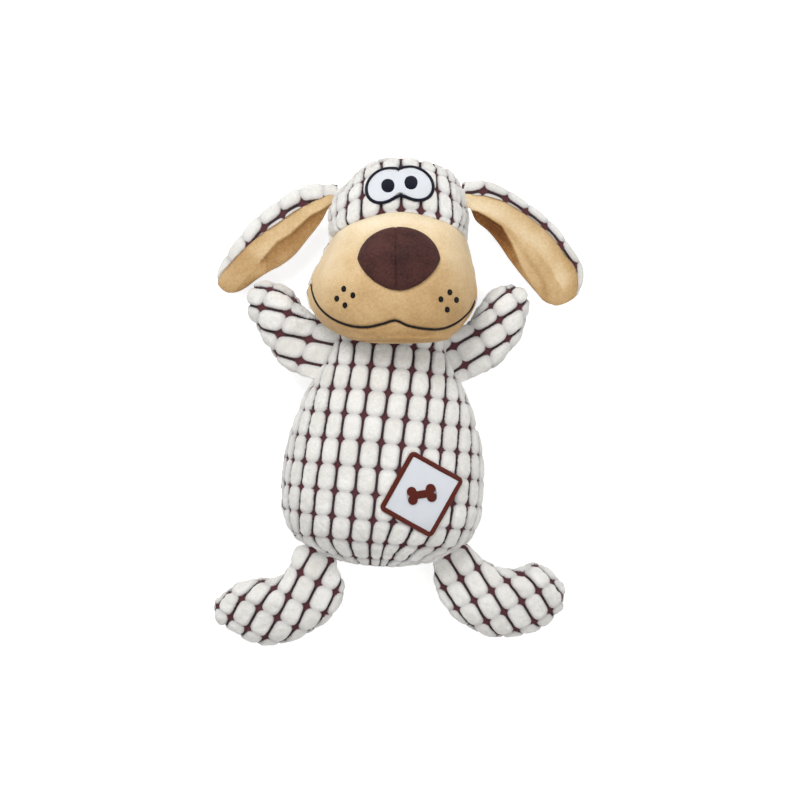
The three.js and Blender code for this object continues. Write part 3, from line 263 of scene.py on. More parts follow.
# Folds in the ears' linings, in plan on the table at rest, from the root outwards.
RIGHT_EAR_FOLD = [
    (-35.8, 106.2), (-41.3, 102.6), (-46.8, 99.8), (-54.1, 93.4), (-58.7, 89.3), (-65.1, 85.6),
    (-71.1, 78.8),
]
LEFT_EAR_VALLEY = [
    (36.1, 102.9), (42.6, 102.0), (49.1, 98.3), (55.6, 94.1), (61.2, 84.8), (65.9, 73.6),
    (72.4, 62.5),
]
LEFT_EAR_FOLD = [
    (36.1, 104.3), (49.1, 100.1), (57.5, 95.0), (67.7, 86.6), (75.2, 81.0), (82.6, 71.8),
    (85.4, 66.2),
]

# Seams on the head: places across (from the middle) and up (from the chin) in shares of its size.
CROWN_SEAM_SHARES = [
    (-0.6, 0.5), (-0.41, 0.577), (-0.247, 0.661), (0.018, 0.709), (0.282, 0.661), (0.418, 0.587),
    (0.6, 0.5),
]
MOUTH_SHARES = [
    (-0.6, 0.39), (-0.507, 0.333), (-0.488, 0.259), (-0.443, 0.192), (-0.368, 0.138),
    (-0.271, 0.104), (-0.173, 0.097), (-0.082, 0.114), (-0.008, 0.131), (0.067, 0.104),
    (0.18, 0.087), (0.271, 0.091), (0.353, 0.124), (0.427, 0.185), (0.469, 0.246), (0.6, 0.32),
]
MUZZLE_SEAM_SHARE = -0.006
NOSE_SHARES = (0.012, 0.456)
NOSE_SIZE = (22.5, 17.4, 17.5)
EYE_SHARES = (0.015, 0.846)
EYE_LOBE = (9.6, 7.4)
EYE_SPREAD = 8.0
EYE_LEAN = np.radians(38.5)
EYE_TILT = np.radians(4)
PUPIL_SPREAD = 6.1
WHISKER_SHARES = {
    "right": [(-0.308, 0.297), (-0.349, 0.247), (-0.255, 0.263), (-0.301, 0.212)],
    "left": [(0.307, 0.28), (0.255, 0.243), (0.346, 0.241), (0.292, 0.19)],
}
PATCH_SHARES = (0.378, 0.33)
PATCH_HALF = (15.9, 17.75)
PATCH_TURN = np.radians(-26.3)
BONE_HALF = 7.5
BONE_TURN = np.radians(38)

# Colours as on screen: the plush's pile, its shaded edge, and the ground's lines, diamonds and worn
# nap; the tan velour's painted light and shade from dark to light, each with its place on the ramp;
# the nose and the fill.
WHITE_LIGHT = (255, 255, 255)
PLUSH_COLOURS = (
    (224, 221, 214), (248, 247, 244), (180, 177, 180), (48, 34, 36), (82, 44, 49), (100, 64, 68),
)
PAINTED_LIGHT_STEPS = (0.0, 0.15, 0.3, 0.5, 0.65, 0.8, 1.0)
PAINTED_LIGHT_COLOURS = (
    (104, 62, 26), (146, 100, 54), (176, 137, 88), (206, 172, 124), (224, 196, 152),
    (237, 215, 178), (247, 238, 214),
)
NOSE_COLOURS = ((46, 25, 24), (88, 51, 46), (36, 20, 19))
FIBRE_COLOURS = ((232, 231, 226), (252, 251, 248))
SOFT_COLOURS = ((226, 220, 204), (238, 233, 220))
REED_COLOURS = ((176, 179, 184), (196, 199, 204))
# The muzzle's painted light by height over the neck: lighter towards the top, where light falls from
# above.
PAINTED_LIGHT_UP = ((-10, -2, 6, 24, 44, 62), (0.36, 0.4, 0.44, 0.52, 0.68, 0.88))


def link(data, name):
    made = bpy.data.objects.new(name, data)
    SCENE.collection.objects.link(made)
    return made


def make_camera():
    """The camera looks straight down on the toy from far off, as the photograph does."""
    data = bpy.data.cameras.new("Camera")
    data.sensor_width = 36
    data.lens = 220
    camera = link(data, "Camera")
    distance = PHOTO_FIELD / 2 / (data.sensor_width / 2 / data.lens)
    camera.location = (*PHOTO_MIDDLE, SEAM_HEIGHT * MM + distance)
    SCENE.camera = camera


make_camera()


# Curves and small helpers. A section is a row: middle x and y, half x and y, front, back, lift.


def row_at(rows, places, pole_start, pole_end):
    """Rows at places between the given ones, on a uniform Catmull-Rom curve through them. Between a
    pole and the row next to it the middle goes as the sine of a quarter turn and the size as the
    cosine, so the end is rounded."""
    last = len(rows) - 1
    places = np.clip(places, 0, last)
    index = np.clip(np.floor(places).astype(int), 0, last - 1)
    share = (places - index)[..., None]
    before, start = rows[np.maximum(index - 1, 0)], rows[index]
    end, after = rows[index + 1], rows[np.minimum(index + 2, last)]
    pull, push, rise = (end - before) / 2, (after - start) / 2, end - start
    bend = 3 * rise - 2 * pull - push + share * (pull + push - 2 * rise)
    found = start + share * (pull + share * bend)
    ends = []
    if pole_start:
        ends.append((1 - places, rows[1], rows[0]))
    if pole_end:
        ends.append((places - last + 1, rows[last - 1], rows[last]))
    for share, base, pole in ends:
        turn = np.clip(share, 0, 1)[..., None] * np.pi / 2
        rounded = base + (pole - base) * np.sin(turn)
        rounded[..., 2:6] = base[2:6] * np.cos(turn)
        found = np.where(share[..., None] > 0, rounded, found)
    return found


def spline(points, count):
    """Points spread along a uniform Catmull-Rom curve through the given ones."""
    points = np.asarray(points, float)
    return row_at(points, np.linspace(0, len(points) - 1, count), False, False)


def steps_of(points):
    """The distances between the points of a line."""
    return np.linalg.norm(np.diff(points, axis=0), axis=1)


def run_of(points):
    """The distance along a line of points up to each of them."""
    return np.concatenate([[0], np.cumsum(steps_of(points))])


def shares_of(steps):
    """The share of a line's length up to each of its points."""
    return np.concatenate([[0], np.cumsum(steps)]) / steps.sum()


def unit(vectors):
    return vectors / np.maximum(np.linalg.norm(vectors, axis=-1, keepdims=True), 1e-9)


def pair(first, second):
    return np.stack([first, second], -1)


def grid(rows, columns, start=(0, 0), end=(1, 1)):
    """Even rows and columns from one corner to the other, as two full grids."""
    down, across = np.linspace(start[0], end[0], rows), np.linspace(start[1], end[1], columns)
    return np.meshgrid(down, across, indexing="ij")


def smooth(value, low=0.0, high=1.0):
    """A smooth rise from 0 at low to 1 at high: three squares less two cubes."""
    share = np.clip((value - low) / (high - low), 0, 1)
    return share * share * (3 - 2 * share)


def bell(off, width):
    """1 on a line and less with the distance from it: e to the power of minus its square."""
    return np.exp(-((off / width) ** 2))


def turned(x, y, angle):
    c, s = np.cos(angle), np.sin(angle)
    return x * c - y * s, x * s + y * c


def to_local(x, y, middle, angle):
    """A place in a figure's own coordinates, from its middle and square to it."""
    return turned(x - middle[0], y - middle[1], -angle)


def from_local(a, b, middle, angle):
    x, y = turned(a, b, angle)
    return x + middle[0], y + middle[1]


def turn_z(angle):
    c, s = np.cos(angle), np.sin(angle)
    return np.array([[c, -s, 0], [s, c, 0], [0, 0, 1]])


def turn_y(angle):
    c, s = np.cos(angle), np.sin(angle)
    return np.array([[c, 0, s], [0, 1, 0], [-s, 0, c]])


def cubic_weights(share):
    """Weights of four neighbours on a Catmull-Rom curve."""
    s, t, u = share, share**2, share**3
    return (-s + 2 * t - u) / 2, (2 - 5 * t + 3 * u) / 2, (s + 4 * t - 3 * u) / 2, (u - t) / 2


def sampled(field, rows, columns):
    """A coarse field read between its points by a cubic each way. Its columns go round and close."""
    count, around = field.shape[:2]
    i, j = np.floor(rows).astype(int), np.floor(columns).astype(int)
    found = 0
    for a, row_weight in enumerate(cubic_weights(rows - i)):
        for b, column_weight in enumerate(cubic_weights(columns - j)):
            part = field[np.clip(i + a - 1, 0, count - 1), (j + b - 1) % around]
            found = found + part * (row_weight * column_weight)[..., None]
    return found


def oval(rows, angles):
    """Points of the sections: a superellipse, whose front and back halves differ in depth."""
    power = 2 / FULLNESS
    across = np.sign(np.cos(angles)) * np.abs(np.cos(angles)) ** power
    rise = np.sign(np.sin(angles)) * np.abs(np.sin(angles)) ** power
    depth = np.where(rise > 0, rows[..., 4], rows[..., 5])
    x = rows[..., 0] + rows[..., 2] * across
    y = rows[..., 1] + rows[..., 3] * across
    return np.stack([x, y, rows[..., 6] + depth * rise], -1)


def even_angle_table():
    """Angles that share half a section into even lengths: the section's length summed, then read
    backwards."""
    angles = np.linspace(0, np.pi, ANGLE_STEPS + 1)
    row = np.array([0, 0, 1, 0, 0.72, 0.72, 0], float)
    return shares_of(steps_of(oval(np.broadcast_to(row, (len(angles), 7)), angles))), angles


EVEN_SHARES, EVEN_ANGLES = even_angle_table()


def f_across(across):
    """f on a section's front for a place across it, which is 1 where f is 0 and -1 where f is 1."""
    angle = np.arccos(np.sign(across) * np.abs(across) ** (FULLNESS / 2))
    return np.interp(angle, EVEN_ANGLES, EVEN_SHARES)


class Form:
    """A stuffed form. t runs from 0 to 1 along it by distance. f runs round it: 0 and 1 are its two
    sides, 0.5 the middle of its front and 1.5 the middle of its back."""

    def __init__(self, rows, pole_start, pole_end, turn, place, shape=None):
        self.rows = np.array(rows, float)
        self.poles = (pole_start, pole_end)
        self.turn, self.place = turn, np.array(place, float)
        self.shape, self.field = shape, None
        self.place_table = np.linspace(0, len(rows) - 1, LENGTH_STEPS + 1)
        found = row_at(self.rows, self.place_table, *self.poles)
        lines = [oval(found, np.full(len(found), angle)) for angle in (0.0, np.pi / 2)]
        steps = sum(steps_of(line) for line in lines)
        self.t_table = shares_of(steps)
        self.y_table = found[:, 1]
        self.length = steps.sum() / 2
        self.sign = 1
        middle = self.normals(np.array([0.5]), np.array([0.5]))
        self.sign = 1 if middle[0, 2] > 0 else -1
        self.lay_out()

    def row(self, t):
        return row_at(self.rows, np.interp(t, self.t_table, self.place_table), *self.poles)

    def room(self, t):
        """A section's depth to the front or to the back, whichever is less."""
        rows = self.row(t)
        return np.minimum(rows[..., 4], rows[..., 5])

    def plain(self, t, f):
        half = np.floor(np.clip(f, 0, 2 - 1e-9))
        angles = np.interp(f - half, EVEN_SHARES, EVEN_ANGLES) + half * np.pi
        return oval(self.row(t), angles)

    def points(self, t, f, swollen=True):
        """The form's surface with the change that the stuffing's pressure made to it."""
        t, f = np.broadcast_arrays(np.clip(t, 0, 1), f)
        found = self.plain(t, f % 2)
        if swollen and self.field is not None:
            rows, around = self.field.shape[:2]
            found = found + sampled(self.field, t * (rows - 1), (f % 2) * around / 2)
        if self.shape is not None:
            found = self.shape(found)
        return found

    def normals(self, t, f):
        """Outward directions: the cross product of small steps along and round the form before it
        swelled, which is free of the creases at its seams."""
        step = 0.004
        t = np.clip(t, step * 2, 1 - step * 2)
        along = self.points(t + step, f, False) - self.points(t - step, f, False)
        around = self.points(t, f + step, False) - self.points(t, f - step, False)
        return unit(np.cross(around, along) * self.sign)

    def lifted(self, t, f, *heights):
        """The form's surface in the world, lifted off it by each of the heights."""
        base, normal = self.points(t, f), self.normals(t, f)
        return [self.world(base + normal * np.asarray(height)[..., None]) for height in heights]

    def lay_out(self):
        """Tables of the flat cloth's coordinates: a section's middle, moved by the length of the
        front's middle line, plus the distance round the section in the section's own direction."""
        quarter, half = TABLE_STEPS // 4, TABLE_STEPS // 2
        t, f = np.linspace(0, 1, TABLE_STEPS + 1), np.linspace(0, 2, TABLE_STEPS + 1)
        points, rows = self.plain(t[:, None], f[None, :]), self.row(t)
        steps = np.linalg.norm(np.diff(points, axis=1), axis=-1)
        run = np.concatenate([np.zeros((len(t), 1)), np.cumsum(steps, axis=1)], axis=1)
        front, back = run[:, quarter, None], run[:, half + quarter, None]
        self.across = np.where(f[None, :] <= 1, front - run, run - back)
        self.edge = np.stack([run[:, half] - front[:, 0], run[:, -1] - back[:, 0]])
        plan = unit(np.diff(rows[:, :2], axis=0))
        rise = np.linalg.norm(np.diff(points[:, quarter], axis=0), axis=1)
        middle = np.vstack([[0, 0], np.cumsum(plan * rise[:, None], axis=0)])
        self.middle = middle - middle[half] + rows[half, :2]
        wide = rows[:, 2:4]
        good = np.linalg.norm(wide, axis=1) > 1e-6
        self.sideways = unit(wide)
        for column in (0, 1):
            self.sideways[:, column] = np.interp(t, t[good], self.sideways[good, column])
        self.table_t = t

    def cloth(self, t, f):
        """Flat cloth coordinates, and the distance to the nearer side seam."""
        t, f = np.broadcast_arrays(t, f)
        row, column = np.clip(t, 0, 1) * TABLE_STEPS, np.clip(f, 0, 2) * TABLE_STEPS / 2
        i, j = (np.minimum(part.astype(int), TABLE_STEPS - 1) for part in (row, column))
        a, b = row - i, column - j
        low, high = (self.across[k, j] * (1 - b) + self.across[k, j + 1] * b for k in (i, i + 1))
        across = low * (1 - a) + high * a

        def read(table):
            return np.interp(t, self.table_t, table)

        u, v = (read(self.middle[:, k]) + across * read(self.sideways[:, k]) for k in (0, 1))
        edge = np.where(f <= 1, read(self.edge[0]), read(self.edge[1]))
        return u, v, edge - np.abs(across)

    def locate(self, x, y):
        """t and f of the front's point over a place in plan, on a form with level sections."""
        place = np.interp(y, self.y_table, self.place_table)
        rows = row_at(self.rows, place, *self.poles)
        across = np.clip((x - rows[..., 0]) / np.maximum(rows[..., 2], 1e-9), -1, 1)
        return np.interp(place, self.place_table, self.t_table), f_across(across)

    def find(self, x, y):
        """The same on the swollen form: f by halving steps until the place across fits, and the
        place along moved by what is left. The form's very edge is left out."""
        aim = y
        for _ in range(3):
            t = self.locate(x, aim)[0]
            low, high = np.full_like(t, FIND_MARGIN), np.full_like(t, 1 - FIND_MARGIN)
            for _ in range(16):
                f = (low + high) / 2
                inside = self.points(t, f)[..., 0] > x
                low, high = np.where(inside, f, low), np.where(inside, high, f)
            aim = aim + y - self.points(t, f)[..., 1]
        return t, f

    def world(self, points):
        return points @ self.turn.T + self.place


# Meshes


def piece_of(name, points, triangles, uv=None, nap=None):
    """A piece from points in millimetres. Points in one place become one, triangles that close up
    are left out, and if the volume comes out negative every triangle is turned over. The last argument
    carries light and shade painted into the cloth at each point, from 0, in shade, to 1, in light."""
    keys = np.round(points, 4)
    _, first, merged = np.unique(keys, axis=0, return_index=True, return_inverse=True)
    faces = merged.reshape(-1)[triangles]
    keep = (faces != np.roll(faces, 1, axis=1)).all(axis=1)
    faces, corners = faces[keep], triangles[keep]
    places = points[first] * MM
    a, b, c = (places[faces[:, corner]] for corner in range(3))
    if np.einsum("ij,ij->", a, np.cross(b, c)) < 0:
        faces, corners = faces[:, ::-1], corners[:, ::-1]
    mesh = bpy.data.meshes.new(name)
    mesh.vertices.add(len(places))
    mesh.vertices.foreach_set("co", places.astype(np.float32).ravel())
    mesh.loops.add(faces.size)
    mesh.loops.foreach_set("vertex_index", faces.astype(np.int32).ravel())
    mesh.polygons.add(len(faces))
    mesh.polygons.foreach_set("loop_start", np.arange(0, faces.size, 3, dtype=np.int32))
    # Painted light and shade go into a second UV map, from 0, in shade, to 1, in light.
    for label, values in (("cloth", uv), ("nap", None if nap is None else pair(nap, nap))):
        if values is not None:
            layer = mesh.uv_layers.new(name=label)
            layer.data.foreach_set("uv", values[corners.ravel()].astype(np.float32).ravel())
    mesh.update(calc_edges=True)
    mesh.shade_smooth()
    mesh.set_sharp_from_angle(angle=SHARP)
    mesh.validate()
    return link(mesh, name)


def quads(rows, columns, offset=0):
    """Triangles of a grid of points, two to a square."""
    index = np.arange(rows * columns).reshape(rows, columns) + offset
    a, b = index[:-1, :-1].ravel(), index[:-1, 1:].ravel()
    c, d = index[1:, 1:].ravel(), index[1:, :-1].ravel()
    return np.vstack([np.stack([a, b, c], 1), np.stack([a, c, d], 1)])


def rim(rows, columns, offset):
    """A grid's outer points in order all the way round."""
    index = np.arange(rows * columns).reshape(rows, columns) + offset
    return np.concatenate([index[0, :-1], index[:-1, -1], index[-1, :0:-1], index[:0:-1, 0]])


def shell(outer, inner, step):
    """A closed panel: an outer grid, an inner one with every so many of its points, and a strip of
    triangles that joins their rims."""
    n, m = outer.shape[:2]
    inner = inner[::step, ::step]
    k, l = inner.shape[:2]
    fine, coarse = rim(n, m, 0), rim(k, l, n * m)
    edge = np.arange(len(fine))
    nearest = ((edge + step // 2) // step) % len(coarse)
    turn = (np.arange(len(coarse)) * step + step - step // 2) % len(fine)
    faces = [
        quads(n, m),
        quads(k, l, n * m)[:, ::-1],
        np.stack([np.roll(fine, -1), fine, coarse[nearest]], 1),
        np.stack([coarse, np.roll(coarse, -1), fine[turn]], 1),
    ]
    return np.vstack([outer.reshape(-1, 3), inner.reshape(-1, 3)]), np.vstack(faces)


def both_sides(values, step):
    """A grid of values for the points of a shell, the outer ones and then the inner."""
    parts = (values, values[::step, ::step])
    return np.concatenate([part.reshape(-1, *values.shape[2:]) for part in parts])


def panel(name, outer, inner, step, uv, nap=None):
    if nap is not None:
        nap = both_sides(nap, step)
    return piece_of(name, *shell(outer, inner, step), both_sides(uv, step), nap)


def spread(length, step=FINE_STEP):
    """How many points cover a length, so that the inner grid's steps come out even."""
    return max(int(np.ceil(length / step / WALL_STEPS)), 2) * WALL_STEPS + 1


def whole_grid(form, side):
    """t and f all over a form's front (side 0) or its back (side 1)."""
    rows, columns = spread(form.length), spread(form.edge[side].max() * 2)
    return grid(rows, columns, (0, side), (1, side + 1))


# Stuffing: the closed forms are blown up in a cloth simulation, held at their seams.


def inflate(form, rows, around, held_from, cap, inset):
    """Swells a closed form by air pressure in a cloth simulation and keeps the change as the form's
    field. It starts a little smaller than the form, and no point ends further off than the cap. The
    change fades out where the form runs thin towards its ends."""
    t = np.linspace(0, 1, rows)[:, None]
    f = (np.arange(around) * 2 / around)[None, :]
    goal = form.points(t, f)
    ends = np.minimum(t + (0 if form.poles[0] else 1), 1 - t) * form.length
    free = smooth(form.room(t), 1, 9) * smooth(ends, 3, 16)
    pinned = np.maximum(side_seams(f), held_from(t))
    held = np.maximum(pinned, 1 - smooth(free, 0, 0.6)) * np.ones_like(goal[..., 0])
    held[0], held[-1] = 1, 1
    start = goal - form.normals(t, f) * (inset * (1 - held))[..., None]
    body = start[1:-1].reshape(-1, 3)
    places = np.vstack([start[0, :1], body, start[-1, :1]]) * SIMULATION_SCALE
    ring = np.arange(around)
    ahead = (ring + 1) % around
    faces = []
    for row in range(rows - 3):
        low, high = 1 + row * around, 1 + (row + 1) * around
        faces += np.stack([low + ring, low + ahead, high + ahead, high + ring], 1).tolist()
    last = 1 + (rows - 3) * around
    faces += np.stack([np.zeros_like(ring), 1 + ahead, 1 + ring], 1).tolist()
    tip = np.full_like(ring, len(places) - 1)
    faces += np.stack([last + ring, last + ahead, tip], 1).tolist()
    if form.sign > 0:
        faces = [face[::-1] for face in faces]
    mesh = bpy.data.meshes.new("pressure")
    mesh.from_pydata(places.tolist(), [], faces)
    blown = link(mesh, "pressure")
    group = blown.vertex_groups.new(name="held")
    weights = np.concatenate([[1], held[1:-1].ravel(), [1]])
    for index in np.flatnonzero(weights > 0.01).tolist():
        group.add([index], float(weights[index]), "REPLACE")
    cloth = blown.modifiers.new("Cloth", "CLOTH").settings
    cloth.quality = 6
    cloth.mass = 0.3
    cloth.use_pressure = True
    cloth.uniform_pressure_force = 4
    cloth.effector_weights.gravity = 0
    cloth.shrink_min = -0.03
    cloth.vertex_group_mass = "held"
    for number in range(1, SIMULATION_FRAMES + 1):
        SCENE.frame_set(number)
    settled = blown.evaluated_get(bpy.context.evaluated_depsgraph_get()).to_mesh()
    found = np.empty(len(places) * 3, np.float32)
    settled.vertices.foreach_get("co", found)
    found = found.reshape(-1, 3).astype(float) / SIMULATION_SCALE
    bpy.data.objects.remove(blown)
    bpy.data.meshes.remove(mesh)
    SCENE.frame_set(1)
    full = np.empty_like(goal)
    full[0], full[-1] = found[0], found[-1]
    full[1:-1] = found[1:-1].reshape(rows - 2, around, 3)
    change = full - goal
    size = np.linalg.norm(change, axis=-1, keepdims=True)
    form.field = change * cap / np.sqrt(cap**2 + size**2) * free[..., None]


# The forms


def torso_rows():
    length, half, front, back = TORSO_SIZE
    rows = [
        (0, TORSO_START - length * (1 - along), half * wide, 0, front * ahead, back * behind, 0)
        for along, wide, ahead, behind in TORSO_SHARES
    ]
    return [*rows, (0, 0, NECK[0], 0, NECK[1], NECK[1], 0), (0, NECK[1], 0, 0, 0, 0, 0)]


def head_rows():
    height, half, front, back = HEAD_SIZE
    rows = []
    for along, right, left, ahead, behind, lift in HEAD_SHARES:
        middle, wide = HEAD_SHIFT + half * (left - right) / 2, half * (left + right) / 2
        depths = (front * ahead, back * behind, front * lift)
        rows.append((middle, height * along - CHIN_DROP, wide, 0, *depths))
    return rows


def limb_rows(shares, size):
    """A limb's or an ear's sections. Before the first the root is rounded off, in a quarter turn."""
    reach, thickness, draw = size
    rows = []
    for x1, y1, x2, y2, half, *_ in shares:
        plan = (reach * part / 2 for part in (x1 + x2, y1 + y2, x1 - x2, y1 - y2))
        rows.append((*plan, thickness * half, thickness * half, 0))
    x, y, half_x, half_y, depth, *_ = rows[0]
    root = []
    for share in ROOT_TURNS:
        turn = share * np.pi / 2
        wide, thin = 1 - draw * (1 - np.cos(turn)), depth * np.cos(turn)
        root.append((x - ROOT_EDGE * np.sin(turn), y, half_x * wide, half_y * wide, thin, thin, 0))
    return root + rows


def joint_place(name):
    found = next(joint for joint in frame["joints"] if joint["name"] == name)
    return np.array(found["pos_m"]) / MM


NECK_PLACE = joint_place("neck_nod")


def underside(x, z):
    """The lowest the head may reach over the torso: the shoulders' room and the neck's socket."""
    room = np.interp(np.abs(z), ROOM_OUT, ROOM_UP)
    bowl = 1 - (x / SOCKET[0]) ** 2 - (z / SOCKET[1]) ** 2
    return np.maximum(room, np.where(bowl > 0, SOCKET[1] * np.sqrt(np.maximum(bowl, 0)), -99))


def head_shape(points):
    """The head's lower end is drawn in under the chin and pushed up to clear the shoulders."""
    low = underside(points[..., 0], points[..., 2]) + CHIN_ROOM
    found, up = points.copy(), points[..., 1]
    found[..., 1] = np.where(up < -3, -3 + (up + 3) * 0.7, up)
    found[..., 1] = np.maximum(found[..., 1], np.where(up < 25, low, -99))
    return found


torso = Form(torso_rows(), True, True, turn_z(TORSO_LEAN), NECK_PLACE)
head = Form(head_rows(), True, True, np.eye(3), NECK_PLACE, head_shape)


def limb(shares, size, joint, heading, slope):
    turn = turn_z(np.radians(heading)) @ turn_y(np.radians(slope))
    return Form(limb_rows(shares, size), False, True, turn, joint_place(joint))


limbs = {
    "arm_right": limb(RIGHT_ARM_SHARES, ARM_SIZE, "arm_right_swing", 156, 20),
    "arm_left": limb(LEFT_ARM_SHARES, ARM_SIZE, "arm_left_swing", 21, 20),
    "leg_right": limb(RIGHT_LEG_SHARES, LEG_SIZE, "leg_right_swing", -108, 16.5),
    "leg_left": limb(LEFT_LEG_SHARES, LEG_SIZE, "leg_left_swing", -63, 16.5),
}


def side_seams(f):
    """1 on the two side seams and 0 off them."""
    return np.where(np.abs((f + 0.5) % 1 - 0.5) < 0.02, 1.0, 0.0)


# Rows and columns of the simulated form, where it is held besides its seams, cap and inset.
inflate(torso, 41, 48, lambda t: torso.row(t)[..., 1] > -3, 2.5, 2.0)
inflate(head, 37, 48, lambda t: t < 0.16, 2.2, 2.0)
for form in limbs.values():
    inflate(form, 23, 24, lambda t: t < 0.12, 1.6, 1.2)


# Raised plush cells


def noise_warp(u, v, seed):
    """A slow drift of the cloth's grid: three crossed sine waves each way."""
    random = np.random.default_rng(seed)
    drift = [0, 0]
    for axis in (0, 1):
        for _ in range(3):
            a, b = random.uniform(-DRIFT_TURN, DRIFT_TURN), random.uniform(-DRIFT_TURN, DRIFT_TURN)
            phase = random.uniform(0, 6.3)
            drift[axis] = drift[axis] + DRIFT_SIZE * np.sin(a * u + b * v + phase)
    return u + drift[0], v + drift[1]


def cell_rise(a, b):
    """The height of the raised cells over the ground, from 0 to 1. A cell is a dome on a rounded
    rectangle with its corners cut off, and leaves a diamond of ground at each corner."""
    across, along = np.abs(a % 1 - 0.5) * 2, np.abs(b % 1 - 0.5) * 2
    corner = CELL_CORNER[0] * across + CELL_CORNER[1] * along
    parts = (CELL_SIDES[0] * across, CELL_SIDES[1] * along, corner)
    radius = sum(part**CELL_POWER for part in parts) ** (1 / CELL_POWER)
    mix = np.sin(np.floor(a) * 12.9898 + np.floor(b) * 78.233) * 43758.5453
    height = 0.9 + 0.2 * (mix - np.floor(mix))
    return height * np.clip(1 - radius**5, 0, 1) ** 0.55


def grid_cells(u, v, directions, seed):
    """Places in a grid of cells on the flat cloth: along each direction in pitches, plus an offset."""
    u, v = noise_warp(u, v, seed)
    found = []
    for pitch, direction, offset in directions:
        angle = np.radians(direction)
        found.append((u * np.cos(angle) + v * np.sin(angle)) / pitch + offset)
    return found


def fuzz(shape, seed):
    """Uneven pile: random heights, each averaged with its neighbours."""
    field = np.random.default_rng(seed).normal(0, 0.42, shape)
    for axis in (0, 1):
        field = (field + np.roll(field, 1, axis) + np.roll(field, -1, axis)) / 3
    return field


def finish_panel(name, form, t, f, height, uv, depth=PLUSH_WALL, nap=None):
    """Lifts a panel off its form by a height, gives it a wall and lays it above the table."""
    wall = np.minimum(depth, 0.5 * form.room(t) + 0.12)
    outer, inner = form.lifted(t, f, height, -wall)
    for points, low in ((outer, TABLE_CLEARANCE), (inner, TABLE_CLEARANCE + INNER_CLEARANCE)):
        points[..., 2] = np.maximum(points[..., 2], low)
    return panel(name, outer, inner, WALL_STEPS, uv, nap)


def plush_panel(name, form, t, f, cells, seed, flat=1.0, dip=0.0, lift=0.0):
    """A panel of the latticed plush. Cells fade where the form is thin and where something is sewn
    over them, and the cloth dips along its seams."""
    shrink = smooth(form.room(t), 0.5, 7.0)
    over = shrink * flat
    seam = bell(form.cloth(t, f)[2], 1.7) + dip
    rise = cell_rise(*cells)
    height = GROUND + lift + PUFF * rise + fuzz(rise.shape, seed) * smooth(rise, 0.1, 0.5)
    height = height * over - SEAM_DIP * seam * shrink - FLAT_DIP * (1 - over)
    return finish_panel(name, form, t, f, height, pair(*cells))


# Materials


def linear(red, green, blue):
    """A colour written as on screen, from 0 to 255, in linear light."""
    share = np.array([red, green, blue]) / 255
    light = np.where(share <= 0.04045, share / 12.92, ((share + 0.055) / 1.055) ** 2.4)
    return (*light.tolist(), 1.0)


class Nodes:
    """Short ways to add and join nodes in one tree."""

    def __init__(self, tree):
        self.tree = tree

    def feed(self, node, values):
        """Gives a node's inputs, by name or number, a value or a link."""
        for key, value in values.items():
            if isinstance(value, bpy.types.NodeSocket):
                self.tree.links.new(value, node.inputs[key])
            else:
                node.inputs[key].default_value = value

    def add(self, kind, values, **settings):
        """A new node's outputs."""
        node = self.tree.nodes.new(f"ShaderNode{kind}")
        for key, value in settings.items():
            setattr(node, key, value)
        self.feed(node, values)
        return node.outputs

    def math(self, operation, *values):
        return self.add("Math", dict(enumerate(values)), operation=operation)[0]

    def rise(self, value, low, high):
        values = {"Value": value, "From Min": low, "From Max": high}
        return self.add("MapRange", values, interpolation_type="SMOOTHSTEP")["Result"]

    def noise(self, vector, scale, detail=2.0, roughness=0.5):
        values = {"Vector": vector, "Scale": scale, "Detail": detail, "Roughness": roughness}
        return self.add("TexNoise", values)["Fac"]

    def mix(self, share, first, second):
        return self.add("Mix", {0: share, 6: first, 7: second}, data_type="RGBA")[2]

    def place(self):
        return self.add("TexCoord", {})["Object"]

    def uv(self, name="cloth"):
        return self.add("UVMap", {}, uv_map=name)["UV"]

    def parts(self, vector):
        return self.add("SeparateXYZ", {0: vector})

    def group(self, tree, **values):
        return self.add("Group", values, node_tree=tree)


def group(name, inputs, build):
    """A shader node group that takes vectors and gives the numbers that its build function makes."""
    tree = bpy.data.node_groups.new(name, "ShaderNodeTree")
    for label in inputs:
        tree.interface.new_socket(label, in_out="INPUT", socket_type="NodeSocketVector")
    found = build(Nodes(tree), tree.nodes.new("NodeGroupInput").outputs)
    for label in found:
        tree.interface.new_socket(label, in_out="OUTPUT", socket_type="NodeSocketFloat")
    end = tree.nodes.new("NodeGroupOutput")
    for label, socket in found.items():
        tree.links.new(socket, end.inputs[label])
    return tree


def lattice_build(nodes, given):
    """The same cells as the mesh has: a pile mask, a number for each cell, the distance from a
    cell's middle and a mask of the diamonds between the corners."""
    across, along = (
        nodes.math("ABSOLUTE", nodes.math("MULTIPLY_ADD", nodes.math("FRACT", part), 2.0, -1.0))
        for part in nodes.parts(given["Cells"])[:2]
    )
    corner = nodes.math("MULTIPLY", across, CELL_CORNER[0])
    corner = nodes.math("MULTIPLY_ADD", along, CELL_CORNER[1], corner)
    sides = [nodes.math("MULTIPLY", part, size) for part, size in zip((across, along), CELL_SIDES)]
    powers = [nodes.math("POWER", part, CELL_POWER) for part in (*sides, corner)]
    total = nodes.math("ADD", powers[0], nodes.math("ADD", powers[1], powers[2]))
    radius = nodes.math("POWER", total, 1 / CELL_POWER)
    ragged = nodes.math("SUBTRACT", nodes.noise(given["Place"], 1300), 0.5)
    rough = nodes.math("MULTIPLY_ADD", ragged, 0.09, radius)
    cell = nodes.add("VectorMath", {0: given["Cells"]}, operation="FLOOR")[0]
    chance = nodes.add("TexWhiteNoise", {"Vector": cell}, noise_dimensions="2D")
    return {
        "Pile": nodes.rise(rough, 0.99, 0.9),
        "Shade": nodes.rise(rough, 0.55, 1.0),
        "Chance": chance["Value"],
        "Corner": nodes.rise(corner, 0.82, 0.94),
    }


